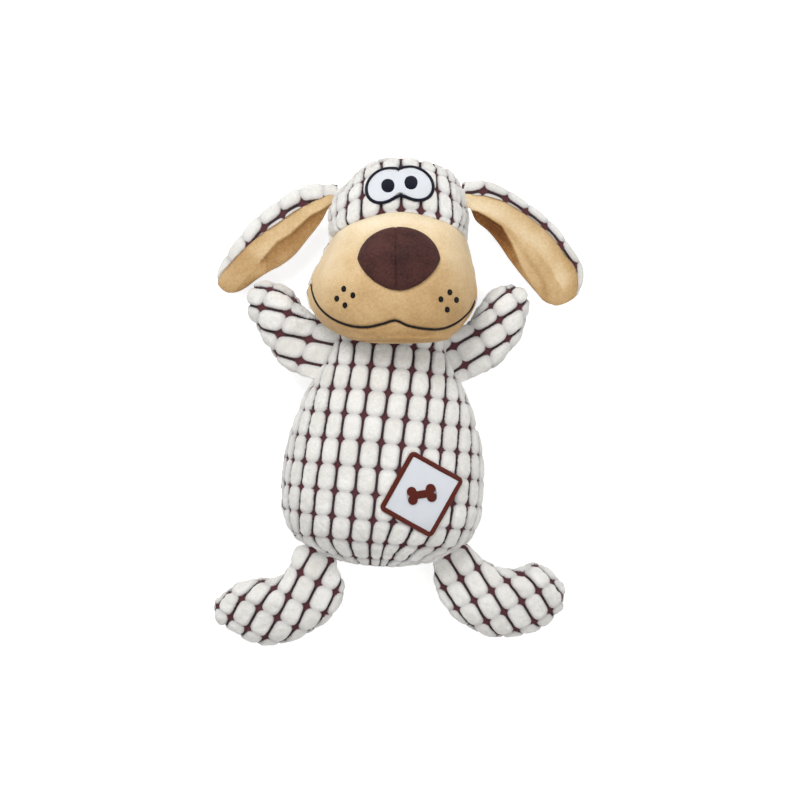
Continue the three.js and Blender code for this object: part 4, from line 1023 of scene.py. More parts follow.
def pile_build(nodes, given):
    """Short cut pile: a fine grain of fibre ends, tufts that lean together, and slow cloudy tones."""
    place = given["Place"]
    fine, tuft = nodes.noise(place, 2600, 2, 0.6), nodes.noise(place, 700, 3, 0.55)
    cloud = nodes.noise(place, 70, 3)
    height = nodes.math("MULTIPLY_ADD", tuft, 0.6, nodes.math("MULTIPLY", fine, 0.4))
    tone = nodes.math("MULTIPLY_ADD", cloud, 0.55, nodes.math("MULTIPLY", tuft, 0.45))
    return {"Height": height, "Tone": nodes.rise(tone, 0.3, 0.7), "Fine": fine}


def satin_build(nodes, given):
    """Embroidery: threads side by side across the stitch's width, each a rounded ridge."""
    run, side = nodes.parts(given["Stitch"])[:2]
    slant = nodes.math("MULTIPLY_ADD", side, 0.35, run)
    loose = nodes.math("MULTIPLY_ADD", nodes.noise(given["Place"], 900), 0.5, slant)
    wave = nodes.math("ABSOLUTE", nodes.math("SINE", nodes.math("MULTIPLY", loose, np.pi)))
    # The tone rises with each thread's ridge, the mask for a painted highlight on the crests.
    return {"Height": wave, "Tone": nodes.rise(wave, 0.0, 0.8)}


LATTICE = group("raised_cells", ("Cells", "Place"), lattice_build)
PILE = group("short_pile", ("Place",), pile_build)
SATIN = group("satin_stitch", ("Stitch", "Place"), satin_build)


def material(name, build, colours, roughness, gloss=0.25, sheen=(0.0, WHITE_LIGHT, 0.5)):
    """A material. Its build function takes the colours and gives the base colour, then the height,
    distance and strength of its bump if it has one. Its sheen is a weight, a tint and a roughness."""
    made = bpy.data.materials.new(name)
    made.use_nodes = True
    nodes = Nodes(made.node_tree)
    colour, *relief = build(nodes, *(linear(*part) for part in colours))
    weight, tint, haze = sheen
    values = {"Base Color": colour, "Roughness": roughness, "Specular IOR Level": gloss}
    values.update({"Sheen Weight": weight, "Sheen Tint": linear(*tint), "Sheen Roughness": haze})
    if relief:
        bump = dict(zip(("Height", "Distance", "Strength"), relief))
        values["Normal"] = nodes.add("Bump", bump)["Normal"]
    nodes.feed(made.node_tree.nodes["Principled BSDF"], values)
    return made


def plush_build(nodes, low, high, shaded, line, diamond, worn):
    """Off-white raised cells on a dark brown ground, seen as thin lines between the cells and wine
    diamonds at their corners."""
    place = nodes.place()
    cells = nodes.group(LATTICE, Cells=nodes.uv(), Place=place)
    pile = nodes.group(PILE, Place=place)
    white = nodes.mix(pile["Tone"], low, high)
    white = nodes.mix(nodes.math("MULTIPLY", cells["Chance"], 0.35), white, low)
    white = nodes.mix(nodes.math("MULTIPLY", cells["Shade"], 0.55), white, shaded)
    ground = nodes.mix(cells["Corner"], line, diamond)
    ground = nodes.mix(nodes.math("MULTIPLY", pile["Tone"], 0.3), ground, worn)
    height = nodes.math("MULTIPLY_ADD", cells["Pile"], 0.8, 0.2)
    height = nodes.math("MULTIPLY", pile["Height"], height)
    return nodes.mix(cells["Pile"], ground, white), height, 0.0011, 0.55


def painted_velour_build(nodes, *colours):
    """Tan velour with light and shade painted into its colour: the piece's painted light, from 0 in
    shade to 1 in light, read through a ramp of colours, with small uneven patches."""
    pile = nodes.group(PILE, Place=nodes.place())
    patchy = nodes.math("MULTIPLY_ADD", pile["Tone"], 0.16, -0.08)
    grain = nodes.math("MULTIPLY_ADD", pile["Fine"], 0.3, -0.15)
    # Light and shade painted into the colour, read from the piece's second UV map.
    nap = nodes.parts(nodes.uv("nap"))[0]
    tone = nodes.math("ADD", nap, nodes.math("ADD", patchy, grain))
    colour = nodes.add("ValToRGB", {"Fac": tone})["Color"]
    ramp = colour.node.color_ramp
    for _ in colours[2:]:
        ramp.elements.new(0.5)
    for element, place, part in zip(ramp.elements, PAINTED_LIGHT_STEPS, colours):
        element.position = place
        element.color = part
    return colour, pile["Height"], 0.0007, 0.5


def nose_build(nodes, low, high, dark):
    """Short velour whose tone shifts where the pile leans."""
    pile = nodes.group(PILE, Place=nodes.place())
    grain = nodes.rise(pile["Fine"], 0.25, 0.75)
    hollow = nodes.math("MULTIPLY", nodes.math("SUBTRACT", 1.0, grain), 0.22)
    colour = nodes.mix(hollow, nodes.mix(pile["Tone"], low, high), dark)
    return colour, pile["Height"], 0.0008, 0.5


def thread_build(nodes, low, high):
    """Stitched thread, painted lighter on each thread's crest and darker between threads: a painted
    highlight and painted shade.
    """
    stitch = nodes.group(SATIN, Stitch=nodes.uv(), Place=nodes.place())
    return nodes.mix(stitch["Tone"], low, high), stitch["Height"], 0.0004, 0.7


def fibre_build(nodes, low, high):
    """White polyester fill: matted, cloudy and soft."""
    place = nodes.place()
    clump = nodes.noise(place, 160, 5, 0.65)
    height = nodes.math("MULTIPLY_ADD", nodes.noise(place, 1400), 0.3, clump)
    return nodes.mix(clump, low, high), height, 0.002, 0.6


def plastic_build(nodes, low, high):
    """Soft moulded plastic, a little cloudy, with a faint skin texture."""
    place = nodes.place()
    return nodes.mix(nodes.noise(place, 90, 3), low, high), nodes.noise(place, 900), 0.0001, 0.4


def thread(name, low, high, roughness=0.5):
    return material(name, thread_build, (low, high), roughness, 0.15)


# Each cloth's material and the name of its slot.
PLUSH_SHEEN, FIBRE_SHEEN = (0.15, (250, 250, 255), 0.5), (0.2, WHITE_LIGHT, 0.5)
TAN_SHEEN, NOSE_SHEEN = (0.3, (255, 236, 205), 0.45), (0.08, (190, 145, 135), 0.45)
PLUSH = (
    material("latticed_plush", plush_build, PLUSH_COLOURS, 0.92, sheen=PLUSH_SHEEN),
    "lattice_plush",
)
TAN = (material("tan_velour", painted_velour_build, PAINTED_LIGHT_COLOURS, 0.88, sheen=TAN_SHEEN), "tan_velour")
NOSE = (material("nose_velour", nose_build, NOSE_COLOURS, 0.85, sheen=NOSE_SHEEN), "nose_velour")
WHITE = (thread("white_cloth", (236, 240, 255), (248, 252, 255), 0.6), "white_cloth")
NAVY = (thread("navy_thread", (7, 8, 20), (20, 22, 40)), "navy_thread")
BLACK = (thread("black_thread", (9, 7, 7), (27, 23, 22), 0.7), "black_thread")
BROWN = (thread("brown_thread", (70, 25, 18), (104, 42, 30)), "brown_thread")
FIBRE = (material("fibre_fill", fibre_build, FIBRE_COLOURS, 0.95, sheen=FIBRE_SHEEN), "fibre_fill")
SOFT_PLASTIC = material("squeaker_plastic", plastic_build, SOFT_COLOURS, 0.45, 0.5)
REED_PLASTIC = material("reed_plastic", plastic_build, REED_COLOURS, 0.35, 0.5)


def dress(piece, cloth, body, *nodes, fill=None, root=None):
    """Finishes a piece: gives it its material, hides the frame's solids that it stands for and hangs
    it on its body. A piece sewn on at a moving root is instead baked where it stands and hangs on no
    body."""
    finish, slot = cloth
    piece.data.materials.append(finish)
    if root is None:
        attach(piece, body)
    else:
        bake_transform(piece)
    if nodes:
        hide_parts(*nodes)


# Torso

PATCH = (
    (TORSO_SIZE[1] * PATCH_SHARES[0], TORSO_START - TORSO_SIZE[0] * (1 - PATCH_SHARES[1])),
    PATCH_TURN,
)


def bottom_dart(u, v):
    """Near the bottom a dart takes cloth away on the dog's left, and the columns draw together."""
    dart = 5.5 * smooth(-v, 98, 126) * (0.5 + 0.5 * np.tanh((u - 1.5) / 3))
    return (u + dart) * (1 + 0.75 * smooth(-v, 112, 150)), v


def make_torso():
    for side, key, node, seed in ((0, "belly", "body_front", 3), (1, "back", "body_back", 5)):
        t, f = whole_grid(torso, side)
        x, y, _ = np.moveaxis(torso.points(t, f), -1, 0)
        flat = smooth(-y, -8, 2)
        if side == 0:
            a, b = to_local(x, y, *PATCH)
            off = np.maximum(np.abs(a) - PATCH_HALF[0], np.abs(b) - PATCH_HALF[1])
            flat = flat * smooth(off, -0.8, 1.4)
        cells = grid_cells(*bottom_dart(*torso.cloth(t, f)[:2]), GRIDS[key], seed)
        piece = plush_panel(f"{key}_plush", torso, t, f, cells, seed, flat)
        dress(piece, PLUSH, "torso", node, fill=0.85)


# Head


def face_place(shares):
    across, up = shares
    return HEAD_SHIFT + HEAD_SIZE[1] * 2 * across, HEAD_SIZE[0] * up - CHIN_DROP


def seam_edge(shares):
    """A seam on the head's front, from its places across and up, as a function that gives t for f."""
    x, y = face_place(spline(shares, 400).T)
    rows = head.row(head.locate(x, y)[0])
    inside = np.flatnonzero(np.abs((x - rows[:, 0]) / rows[:, 2]) < 1)
    keep = slice(max(inside[0] - 1, 0), inside[-1] + 2)
    t, f = (part[keep] for part in head.find(x, y))
    f[0], f[-1] = 1, 0
    order = np.argsort(f)
    f, t = f[order], t[order]
    return lambda place: np.interp(place, f, t)


crown_edge = seam_edge(CROWN_SEAM_SHARES)
mouth_edge = seam_edge(MOUTH_SHARES)
EYES = (face_place(EYE_SHARES), EYE_TILT)
NOSE_PLACE = face_place(NOSE_SHARES)
SEAM_X = face_place((MUZZLE_SEAM_SHARE, 0))[0]


def bezier(points, count=80):
    """A cubic curve between its end points, pulled by the two middle ones."""
    s = np.linspace(0, 1, count)[:, None]
    a, b, c, d = (np.array(point, float) for point in points)
    return a * (1 - s) ** 3 + 3 * b * s * (1 - s) ** 2 + 3 * c * s**2 * (1 - s) + d * s**3


def nose_edges():
    """The nose's lower and upper edge: height for each distance out from its middle."""
    wide, rise, drop = NOSE_SIZE
    top = bezier([(-wide, 0), (-wide * 0.8, rise * 1.33), (wide * 0.8, rise * 1.33), (wide, 0)])
    side = bezier([(wide, 0), (wide * 0.84, -drop * 0.62), (wide * 0.32, -drop), (0, -drop)])
    return side[::-1], top[top[:, 0] >= -1e-9]


NOSE_LOW, NOSE_TOP = nose_edges()


def nose_span(out):
    """The nose's lower and upper height at a distance out from its middle."""
    return (np.interp(out, *edge.T) for edge in (NOSE_LOW, NOSE_TOP))


def nose_off(x, y):
    """Distance outside the nose's outline, negative inside it."""
    dx, dy = np.abs(x - NOSE_PLACE[0]), y - NOSE_PLACE[1]
    near = np.full(dx.shape, 1e9)
    for px, py in np.vstack([NOSE_TOP, NOSE_LOW]):
        near = np.minimum(near, np.hypot(dx - px, dy - py))
    low, top = nose_span(dx)
    return np.where((dx < NOSE_SIZE[0]) & (dy < top) & (dy > low), -near, near)


def eye_reach(angles, grow=0.0):
    """How far the eyes' outline lies from their middle in each direction: the further crossing with
    two ovals whose lower ends lean outwards, and a little more where they meet."""
    found = 0
    long, short = EYE_LOBE[0] + grow, EYE_LOBE[1] + grow
    for side in (-1, 1):
        c, s = np.cos(EYE_LEAN), -side * np.sin(EYE_LEAN)
        middle = side * EYE_SPREAD
        first = (np.cos(angles) * c + np.sin(angles) * s) / long
        second = (np.sin(angles) * c - np.cos(angles) * s) / short
        start, offset = -middle * c / long, middle * s / short
        a, b = first**2 + second**2, 2 * (first * start + second * offset)
        root = np.sqrt(b**2 - 4 * a * (start**2 + offset**2 - 1))
        found = np.maximum(found, (-b + root) / (2 * a))
    turn = angles % (2 * np.pi)
    return found + 1.5 * bell(turn - np.pi / 2, 0.3) + 2.6 * bell(turn - np.pi * 1.5, 0.4)


def eye_off(x, y):
    dx, dy = to_local(x, y, *EYES)
    return np.hypot(dx, dy) - eye_reach(np.arctan2(dy, dx))


def between(low, high, up, f):
    return low(f) + (high(f) - low(f)) * up


def velour_panel(name, t, f, height):
    """A panel of the muzzle's velour, with light and shade painted into its colour: light at the top
    and cheeks, as light falls from above, darker towards the chin and a little darker on the dog's
    left."""
    x, y, _ = np.moveaxis(head.points(t, f), -1, 0)
    # Painted light and shade: lighter upwards and on the upper cheeks, painted shade towards the dog's
    # left side.
    nap = np.interp(y, *PAINTED_LIGHT_UP)
    cheek = smooth(np.abs(x - HEAD_SHIFT), 22, 42) * smooth(y, 8, 34)
    nap = nap + 0.14 * cheek - 0.06 * smooth(x, -20, 40)
    uv = pair(*head.cloth(t, f)[:2]) / UV_SIDE
    return finish_panel(name, head, t, f, height, uv, VELOUR_WALL, nap)


def groove(off, depth, width):
    """A rounded dip along a line, from the distance to it."""
    return -depth * bell(off, width)


def seam_off(t, f, edge):
    """Distance in millimetres over the head's surface to a seam: the distance along the head, less
    where the seam runs steeply."""
    step = 0.01
    slope = (edge(f + step) - edge(f - step)) * head.length / (4 * step * head.edge[0].max())
    return np.abs(t - edge(f)) * head.length / np.sqrt(1 + slope**2)


def muzzle_grooves(t, f):
    """The dips of the mouth's seam and of the head's side seam."""
    return groove(seam_off(t, f, mouth_edge), 0.9, 1.2) + groove(head.cloth(t, f)[2], 0.8, 1.6)


def make_crown():
    up, f = grid(spread(48), spread(head.edge[0].max() * 2))
    t = between(crown_edge, np.ones_like, up, f)
    x, y, _ = np.moveaxis(head.points(t, f), -1, 0)
    flat = smooth(eye_off(x, y), -0.2, 1.8)
    dip = 1.3 * bell(seam_off(t, f, crown_edge), 1.6)
    u, v, _ = head.cloth(t, f)
    u = u + (x - u) * (1 - smooth(np.abs(x - HEAD_SHIFT), 14, 26))
    above = v - head.cloth(crown_edge(f), f)[1] - 1.0 - 1.6 * u / 25
    u, above = noise_warp(u, above, 11)
    cells = ((u - CROWN_START) / CROWN_PITCH[0], above / CROWN_PITCH[1])
    piece = plush_panel("crown_plush", head, t, f, cells, 11, flat, dip)
    dress(piece, PLUSH, "head", "crown_front", fill=0.8)


def make_muzzle():
    """Each half's columns run from the side seam to the middle seam, which stands upright: f there
    is found again from the section that t gives, a few times over."""
    for name, side in (("right", 1), ("left", 0)):
        up, share = grid(spread(60), spread(60))
        middle = 0.5
        for _ in range(5):
            f = side + (middle - side) * share
            t = between(mouth_edge, crown_edge, up, f)
            row = head.row(t)
            middle = f_across((SEAM_X - row[..., 0]) / row[..., 2])
        x, y, _ = np.moveaxis(head.points(t, f), -1, 0)
        nose = nose_off(x, y)
        height = groove(x - SEAM_X, 0.08, 0.7) + groove(nose, 1.1, 1.5) - 2.4 * smooth(-nose, 0.2, 2.0)
        height = height + groove(seam_off(t, f, crown_edge), 1.5, 1.9) + muzzle_grooves(t, f)
        piece = velour_panel(f"muzzle_{name}_velour", t, f, height)
        dress(piece, TAN, "head", f"muzzle_{name}", fill=0.85)


def make_chin():
    up, f = grid(spread(26), spread(130))
    t = between(np.zeros_like, mouth_edge, up, f)
    piece = velour_panel("chin_velour", t, f, muzzle_grooves(t, f))
    dress(piece, TAN, "head", "chin", fill=0.7)


def make_head_back():
    t, f = whole_grid(head, 1)
    cells = grid_cells(*head.cloth(t, f)[:2], GRIDS["back"], 13)
    piece = plush_panel("head_back_plush", head, t, f, cells, 13)
    dress(piece, PLUSH, "head", "head_back", fill=0.8)


def make_neck_panel():
    """The panel under the head: a disc in rings, its height the shoulders' room and the socket."""
    ring, turn = grid(41, 97, end=(1, 2 * np.pi))
    x, z = ring * np.cos(turn) * NECK_PANEL[0], ring * np.sin(turn) * NECK_PANEL[1]
    layers = [head.world(np.stack([x, underside(x, z) + lift, z], -1)) for lift in (0.1, 2.1)]
    uv = pair(x / GRIDS["back"][0][0], z / GRIDS["back"][1][0])
    dress(panel("neck_plush", *layers, WALL_STEPS, uv), PLUSH, "head", "neck_panel")


def layer(name, form, x, y, low, high, uv):
    """A flat piece lying on a form: a grid of places in plan, from one height to another."""
    return panel(name, *form.lifted(*form.find(x, y), high, low), 1, uv)


def stitched_line(name, form, x, y, width, height, low, pitch=0.5, closed=True):
    """A raised line of stitches over places in plan: a rounded profile carried along the path, with
    its width square to the path on the form's surface."""
    t, f = form.find(x, y)
    path, normal = form.points(t, f), form.normals(t, f)
    if closed:
        ahead, behind = np.roll(path, -1, 0), np.roll(path, 1, 0)
    else:
        ahead, behind = np.vstack([path[1:], path[-1:]]), np.vstack([path[:1], path[:-1]])
    across = unit(np.cross(normal, ahead - behind))
    run = run_of(path)
    profile = np.linspace(0, 2 * np.pi, 13)[:-1]
    size = np.ones(len(path))
    if not closed:
        size = np.sqrt(np.clip(np.minimum(run, run[-1] - run) / (width * 0.6), 0, 1))
    side = np.cos(profile)[None, :] * (width / 2 * size)[:, None]
    rise = np.where(np.sin(profile) > 0, height, 0.35 * height)
    lift = low + np.sin(profile)[None, :] * rise[None, :] * size[:, None]
    points = path[:, None] + across[:, None] * side[..., None] + normal[:, None] * lift[..., None]
    points = form.world(points)
    points = np.concatenate([points, points[:, :1]], 1)
    if closed:
        points = np.concatenate([points, points[:1]], 0)
        run = np.append(run, run[-1] + np.linalg.norm(path[0] - path[-1]))
    n, m = points.shape[:2]
    uv = pair(*np.broadcast_arrays(run[:, None] / pitch, np.linspace(0, 2, m)[None, :]))
    return piece_of(name, points.reshape(-1, 3), quads(n, m), uv.reshape(-1, 2))


def round_grid(count):
    """A square grid drawn out to a round one: how far each place lies from the middle, and its
    direction. It has no seam and no point where lines meet."""
    a, b = grid(count, count, (-1, -1))
    x, y = a * np.sqrt(1 - b * b / 2), b * np.sqrt(1 - a * a / 2)
    return np.hypot(x, y), np.arctan2(y, x)


def dome_of(ring, power=4):
    """A round dome's height, from 1 at the middle to 0 at the rim."""
    return np.sqrt(np.clip(1 - ring**power, 0, 1))


def disc(name, x, y, radius, low, high, stretch):
    """A small embroidered dot on the head: a dome on a round grid."""
    ring, turn = round_grid(17)
    a, b = ring * radius * np.cos(turn), ring * radius * stretch * np.sin(turn)
    dome = low + (high - low) * dome_of(ring)
    return layer(name, head, x + a, y + b, low - 0.3, dome, pair(a, b) / THREAD_PITCH)


def make_nose():
    wide = NOSE_SIZE[0]
    for name, side in (("right", -1), ("left", 1)):
        up, out = grid(spread(34, 0.7), spread(24, 0.7))
        out = np.sin(out * np.pi / 2)
        first = (SEAM_X - NOSE_PLACE[0]) * side
        dx = first + (wide - first) * out
        low, top = nose_span(np.maximum(dx, 0))
        dy = low + (top - low) * up
        x, y = NOSE_PLACE[0] + side * dx, NOSE_PLACE[1] + dy
        off = np.clip(np.minimum(dy - low, top - dy) / 5.5, 0, 1)
        lift = -1.1 + 3.1 * dome_of(1 - off, 2) * dome_of(out, 6) + groove(x - SEAM_X, 0.5, 0.7)
        piece = layer(f"nose_{name}_velour", head, x, y, -2.2, lift, pair(x, y) / UV_SIDE)
        dress(piece, NOSE, "head", f"nose_{name}", fill=0.6)


def make_eyes():
    ring, turn = round_grid(65)
    a, b = (eye_reach(turn) * ring * part for part in (np.cos(turn), np.sin(turn)))
    x, y = from_local(a, b, *EYES)
    lift = 0.75 + 0.25 * dome_of(ring, 2)
    white = layer("eye_white_satin", head, x, y, -0.3, lift, pair(a, b) / SATIN_PITCH)
    dress(white, WHITE, "head", "eye_white")
    turn = np.linspace(0, 2 * np.pi, 241)[:-1]
    reach = eye_reach(turn, 0.75)
    x, y = from_local(reach * np.cos(turn), reach * np.sin(turn), *EYES)
    line = stitched_line("eye_outline_stitch", head, x, y, 1.75, 0.7, 0.75)
    dress(line, NAVY, "head", "eye_outline")
    for name, side in (("right", -1), ("left", 1)):
        x, y = from_local(side * PUPIL_SPREAD, side * 0.4, *EYES)
        pupil = disc(f"pupil_{name}_stitch", x, y, 3.6, 0.85, 1.5, 1.04)
        dress(pupil, NAVY, "head", f"pupil_{name}")


def make_mouth():
    x, y = face_place(spline(MOUTH_SHARES[1:-1], 260).T)
    line = stitched_line("mouth_line_stitch", head, x, y, 1.15, 0.6, -0.2, 1.4, closed=False)
    dress(line, BLACK, "head", "mouth_stitch")
    for name, spots in WHISKER_SHARES.items():
        for number, shares in enumerate(spots, 1):
            dot = disc(f"whisker_{name}_{number}_stitch", *face_place(shares), 1.35, -0.1, 0.5, 1.25)
            dress(dot, BLACK, "head", f"whisker_{name}_{number}")


# Patch


def make_patch():
    inset, corner = 1.2, 1.6
    half_x, half_y = (half - inset for half in PATCH_HALF)
    b, a = grid(61, 57, (-1, -1))
    a, b = a * half_x, b * half_y
    lift = 0.7 + 0.12 * np.sin(a * 0.33 + 1) * np.sin(b * 0.27)
    x, y = from_local(a, b, *PATCH)
    cloth = layer("patch_satin", torso, x, y, lift - 1.0, lift, pair(a, b) / SATIN_PITCH)
    dress(cloth, WHITE, "torso", "patch_cloth")
    quarter = np.linspace(0, np.pi / 2, 7)
    path = []
    for turn, (sx, sy) in enumerate(((1, 1), (-1, 1), (-1, -1), (1, -1))):
        angle = quarter + turn * np.pi / 2
        middle = pair(sx * (half_x - corner), sy * (half_y - corner))
        path.append(middle + corner * pair(np.cos(angle), np.sin(angle)))
    path = np.vstack([*path, path[0][:1]])
    run = run_of(path)
    even = np.linspace(0, run[-1], 301)[:-1]
    x, y = from_local(*(np.interp(even, run, column) for column in path.T), *PATCH)
    border = stitched_line("patch_border_stitch", torso, x, y, 2.7, 1.1, 0.65, 0.55)
    dress(border, BROWN, "torso", "patch_border")


def make_bone():
    """A generic bone in satin stitch: for each place along it, from the middle line out to the shaft's
    or the knobs' edge, and the same below."""
    along = np.concatenate([np.linspace(0, 0.96, 40), np.linspace(0.965, 1, 8)]) * BONE_HALF
    along = np.concatenate([-along[:0:-1], along])
    knob, knob_x, knob_y, shaft = 2.5, 5.0, 2.25, 2.0
    off = np.abs(np.abs(along) - knob_x)
    bulge = np.sqrt(np.clip(knob**2 - off**2, 0, None))
    top = np.where(off < knob, knob_y + bulge, 0)
    top = np.maximum(top, np.where(np.abs(along) < knob_x, shaft, 0))
    low = np.where(np.abs(along) > knob_x, np.maximum(knob_y - bulge, 0), 0)
    share = np.linspace(0, 1, 9)[:, None]
    a = along[None, :] * np.ones_like(share)
    dome = (1.0 + 0.55 * dome_of(share * 0.96)) * np.ones_like(a)
    points, faces, uvs = [], [], []
    for side in (1, -1):
        b = side * (low + (top - low) * share)
        x, y = from_local(*turned(a, b, BONE_TURN), *PATCH)
        found, triangles = shell(*torso.lifted(*torso.find(x, y), dome, 0.6), 1)
        faces.append(triangles[:, ::side] + len(found) * len(points))
        points.append(found)
        uvs.append(both_sides(pair(a, b) / THREAD_PITCH, 1))
    piece = piece_of("patch_bone_stitch", np.vstack(points), np.vstack(faces), np.vstack(uvs))
    dress(piece, BROWN, "torso", "patch_bone")


# Limbs and ears


def make_limbs():
    for seed, (name, form) in enumerate(limbs.items(), 21):
        for side, word in enumerate(("front", "back")):
            t, f = whole_grid(form, side)
            cells = grid_cells(*form.cloth(t, f)[:2], GRIDS[name], seed)
            piece = plush_panel(f"{name}_{word}_plush", form, t, f, cells, seed, lift=0.5)
            dress(piece, PLUSH, name, f"{name}_{word}", fill=0.85, root=(form, "torso"))


def lining_edge(form, shares):
    """Where the tan lining begins round the ear's front, as f for each t."""
    f = f_across(1 - 2 * np.array([row[5] for row in shares]))
    places = np.arange(len(shares)) + len(ROOT_TURNS)
    t = np.interp(places, form.place_table, form.t_table)
    return lambda place: np.interp(place, t, f)


def line_off(x, y, line):
    """Distance in plan to a line of points, positive on its upper side, and the share along it."""
    off, side, share = np.full(x.shape, 1e9), np.ones(x.shape), np.zeros(x.shape)
    for number, ((x1, y1), (x2, y2)) in enumerate(zip(line, line[1:])):
        dx, dy = x2 - x1, y2 - y1
        part = np.clip(((x - x1) * dx + (y - y1) * dy) / (dx * dx + dy * dy), 0, 1)
        gap = np.hypot(x - x1 - part * dx, y - y1 - part * dy)
        above = np.sign(dx * (y - y1) - dy * (x - x1)) * np.sign(dx)
        closer = gap < off
        off = np.where(closer, gap, off)
        side = np.where(closer, above, side)
        share = np.where(closer, (number + part) / (len(line) - 1), share)
    return off * side, share


def right_ear_folds(x, y):
    """Height and painted light of the lining: a roll above the fold in painted light, painted shade in
    the hollow below it.
    """
    off, _ = line_off(x, y, RIGHT_EAR_FOLD)
    last_x, last_y = RIGHT_EAR_FOLD[-1]
    tip = smooth(np.hypot(x - last_x, y - last_y) * np.where(x < last_x, 1, 0), 2, 14)
    hollow = (1 - smooth(off, -0.5, 0.5)) * (1 - tip)
    height = np.where(off > 0, bell(off, 4), 1.0 - 2.8 * (1 - np.exp(off / 0.8)))
    height = height + np.where(off < 0, 1.8 * (1 - np.exp(off / 7)), 0)
    # Painted light on the roll, painted shade in the hollow, and darker below the fold towards the
    # tip.
    nap = 0.6 - 0.1 * smooth(off, 2, 12)
    shade = 0.25 + 0.17 * smooth(-off, 2, 12)
    nap = nap + (shade - nap) * hollow
    low = smooth(-off, 6, 16) * tip
    return height * (1 - tip), nap - 0.2 * low - 0.06 * tip


def left_ear_folds(x, y):
    """Height and painted light of the lining: a deep hollow along the lower edge in painted shade, a
    roll over it painted pale and a broad band of painted light along the rim."""
    off, along = line_off(x, y, LEFT_EAR_VALLEY)
    fold, _ = line_off(x, y, LEFT_EAR_FOLD)
    deep = 1 - smooth(along, 0.45, 1)
    height = np.where(off < 0, -3.0 * (1 - np.exp(off / 0.9)) * np.exp(off / 9) * deep, 0)
    height = height + 0.9 * deep * bell(off, 3.0)
    height = height - 0.7 * bell(fold, 1.3) * smooth(along, 0.2, 0.5)
    # Painted shade in the hollow and in a stripe between hollow and fold, painted light on the roll
    # and rim band.
    hollow = 0.36 * smooth(along, 0.5, 1) + 0.1 * smooth(-off, 2, 9)
    stripe = bell(off - 0.45 * (off - fold), 1.4) * smooth(along, 0.35, 0.6)
    roll = 0.6 - 0.12 * stripe - 0.12 * smooth(along, 0.7, 1)
    nap = hollow + (roll - hollow) * smooth(off, -0.6, 0.6)
    band = 0.78 - 0.2 * smooth(fold, 3, 11) - 0.12 * smooth(along, 0.3, 1)
    return height, nap + (band - nap) * smooth(fold, -0.7, 0.9)


def make_ear(name, heading, shares, folds):
    form = limb(shares, EAR_SIZE, f"{name}_flap", heading, 19)
    begin = lining_edge(form, shares)
    wide = form.edge[0].max()
    rows = spread(form.length)
    t, share = grid(rows, spread(wide * 1.6))
    f = begin(t) + (1 - begin(t)) * share
    seam, brim = (f - begin(t)) * wide * 2, (1 - f) * wide * 2
    place = form.world(form.points(t, f))
    # The folds give real relief, and also the light and shade painted into the lining's colour.
    height, nap = folds(place[..., 0], place[..., 1])
    height = height * smooth(form.room(t), 0.5, 3.0) * smooth(seam, 0, 3) * smooth(brim, 0, 3)
    height = height + groove(seam, 0.8, 1.2)
    uv = pair(*form.cloth(t, f)[:2]) / UV_SIDE
    lining = finish_panel(f"{name}_lining_velour", form, t, f, height, uv, EAR_WALL, nap)
    dress(lining, TAN, name, f"{name}_inner", root=(form, "head"))
    t, share = grid(rows, spread(wide * 3))
    f = share * (1 + begin(t)) + 1
    line, first = EAR_GRIDS[name]
    half = np.interp(t, form.table_t, form.edge[0])
    u, v = noise_warp((f - 2) * 2 * half - line, t * form.length - first, 31)
    cells = (u / EAR_PITCH[0], v / EAR_PITCH[1])
    fade = smooth(form.room(t), 0.5, 3.0) * smooth((f - 1) * wide * 2, 1, 7)
    height = EAR_GROUND + EAR_PUFF * cell_rise(*cells) * fade
    outer = finish_panel(f"{name}_plush", form, t, f, height, pair(*cells), EAR_WALL)
    dress(outer, PLUSH, name, f"{name}_outer", root=(form, "head"))


# Stuffing and squeaker


def make_filling():
    """Fibre fill inside each cover: the same form, well inside it, with slow lumps."""
    held = {"torso": (torso, "body_stuffing"), "head": (head, "head_stuffing")}
    held.update({name: (form, f"{name}_stuffing") for name, form in limbs.items()})
    for body, (form, node) in held.items():
        rows, columns = spread(form.length, 4), spread(form.edge.max() * 2, 4) * 2 - 1
        t, f = grid(rows, columns, (0.02, 0), (1, 2))
        x, y, z = np.moveaxis(form.points(t, f), -1, 0)
        lumps = 0.35 * np.sin(x * 0.5) * np.sin(y * 0.45 + z * 0.3)
        room = form.room(t)
        inset = np.minimum(5.2, 0.7 * room + 0.15) + lumps * smooth(room, 5, 12)
        points = form.lifted(t, f, -inset)[0].reshape(-1, 3)
        points[:, 2] = np.maximum(points[:, 2], TABLE_CLEARANCE + 2)
        start = np.arange(columns - 1)
        cap = np.stack([np.full_like(start, len(points)), start, start + 1], 1)
        points = np.vstack([points, points[:columns].mean(0)])
        piece = piece_of(f"{body}_fill", points, np.vstack([quads(rows, columns), cap]))
        dress(piece, FIBRE, body, node, fill=0.9)
    for part, finish in (("bulb", SOFT_PLASTIC), ("plug", SOFT_PLASTIC), ("reed", REED_PLASTIC)):
        for slot in frame["nodes"][f"squeaker_{part}"].material_slots:
            slot.material = finish


# Floor, light and world


def seen_directly(nodes):
    """1 where the camera, a mirror or clear glass looks straight at the surface."""
    seen = nodes.add("LightPath", {})
    camera, glossy, clear = (seen[f"Is {kind} Ray"] for kind in ("Camera", "Glossy", "Transmission"))
    return nodes.math("ADD", camera, nodes.math("ADD", glossy, clear))


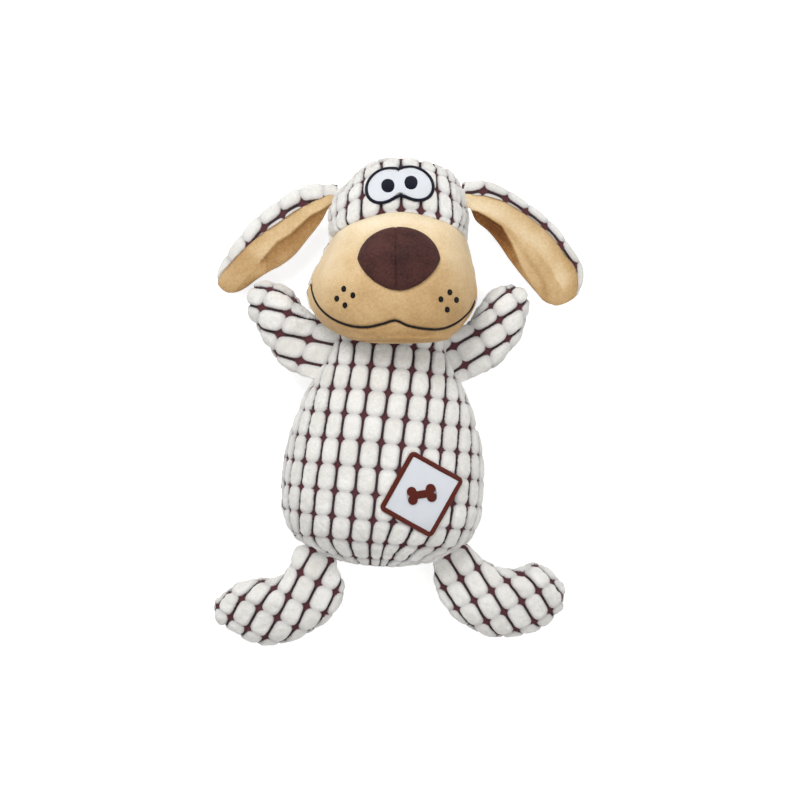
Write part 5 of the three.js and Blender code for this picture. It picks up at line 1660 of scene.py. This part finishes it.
def make_floor():
    """White paper that glows to the camera and can be seen through from below."""
    far = 3000 * MM
    corners = [(-far, -far, 0), (far, -far, 0), (far, far, 0), (-far, far, 0)]
    floor = link(bpy.data.meshes.new("floor"), "floor")
    floor.data.from_pydata(corners, [], [(0, 1, 2, 3)])
    paper = material("floor_paper", lambda nodes, colour: (colour,), ((244, 244, 244),), 0.9, 0.0)
    nodes, shader = Nodes(paper.node_tree), paper.node_tree.nodes["Principled BSDF"]
    glow = nodes.math("MULTIPLY", seen_directly(nodes), 0.62)
    nodes.feed(shader, {"Emission Color": (1, 1, 1, 1), "Emission Strength": glow})
    back = nodes.add("NewGeometry", {})["Backfacing"]
    clear = nodes.add("BsdfTransparent", {})[0]
    both = nodes.add("MixShader", {0: back, 1: shader.outputs[0], 2: clear})[0]
    nodes.feed(paper.node_tree.nodes["Material Output"], {"Surface": both})
    floor.data.materials.append(paper)


def make_lights():
    world = bpy.data.worlds.new("studio")
    world.use_nodes = True
    sky = Nodes(world.node_tree)
    strength = sky.math("MULTIPLY_ADD", seen_directly(sky), 0.42, 0.58)
    background = world.node_tree.nodes["Background"]
    sky.feed(background, {"Color": (1, 1, 1, 1), "Strength": strength})
    SCENE.world = world
    for name, place, size, energy in (
        ("key", (-0.25, 0.62, 0.85), 0.6, 5.4),
        ("fill", (0.6, -0.2, 1.2), 0.9, 2.8),
    ):
        lamp = bpy.data.lights.new(name, "AREA")
        lamp.shape = "DISK"
        lamp.size = size
        lamp.energy = energy
        holder = link(lamp, name)
        holder.location = place
        direction = Vector((0, 0, 0.03)) - Vector(place)
        holder.rotation_euler = direction.to_track_quat("-Z", "Y").to_euler()
    SCENE.view_settings.view_transform = "Standard"


make_torso()
make_crown()
make_muzzle()
make_chin()
make_head_back()
make_neck_panel()
make_nose()
make_eyes()
make_mouth()
make_patch()
make_bone()
make_limbs()
make_ear("ear_right", 186, RIGHT_EAR_SHARES, right_ear_folds)
make_ear("ear_left", -6, LEFT_EAR_SHARES, left_ear_folds)
make_filling()
make_floor()
make_lights()
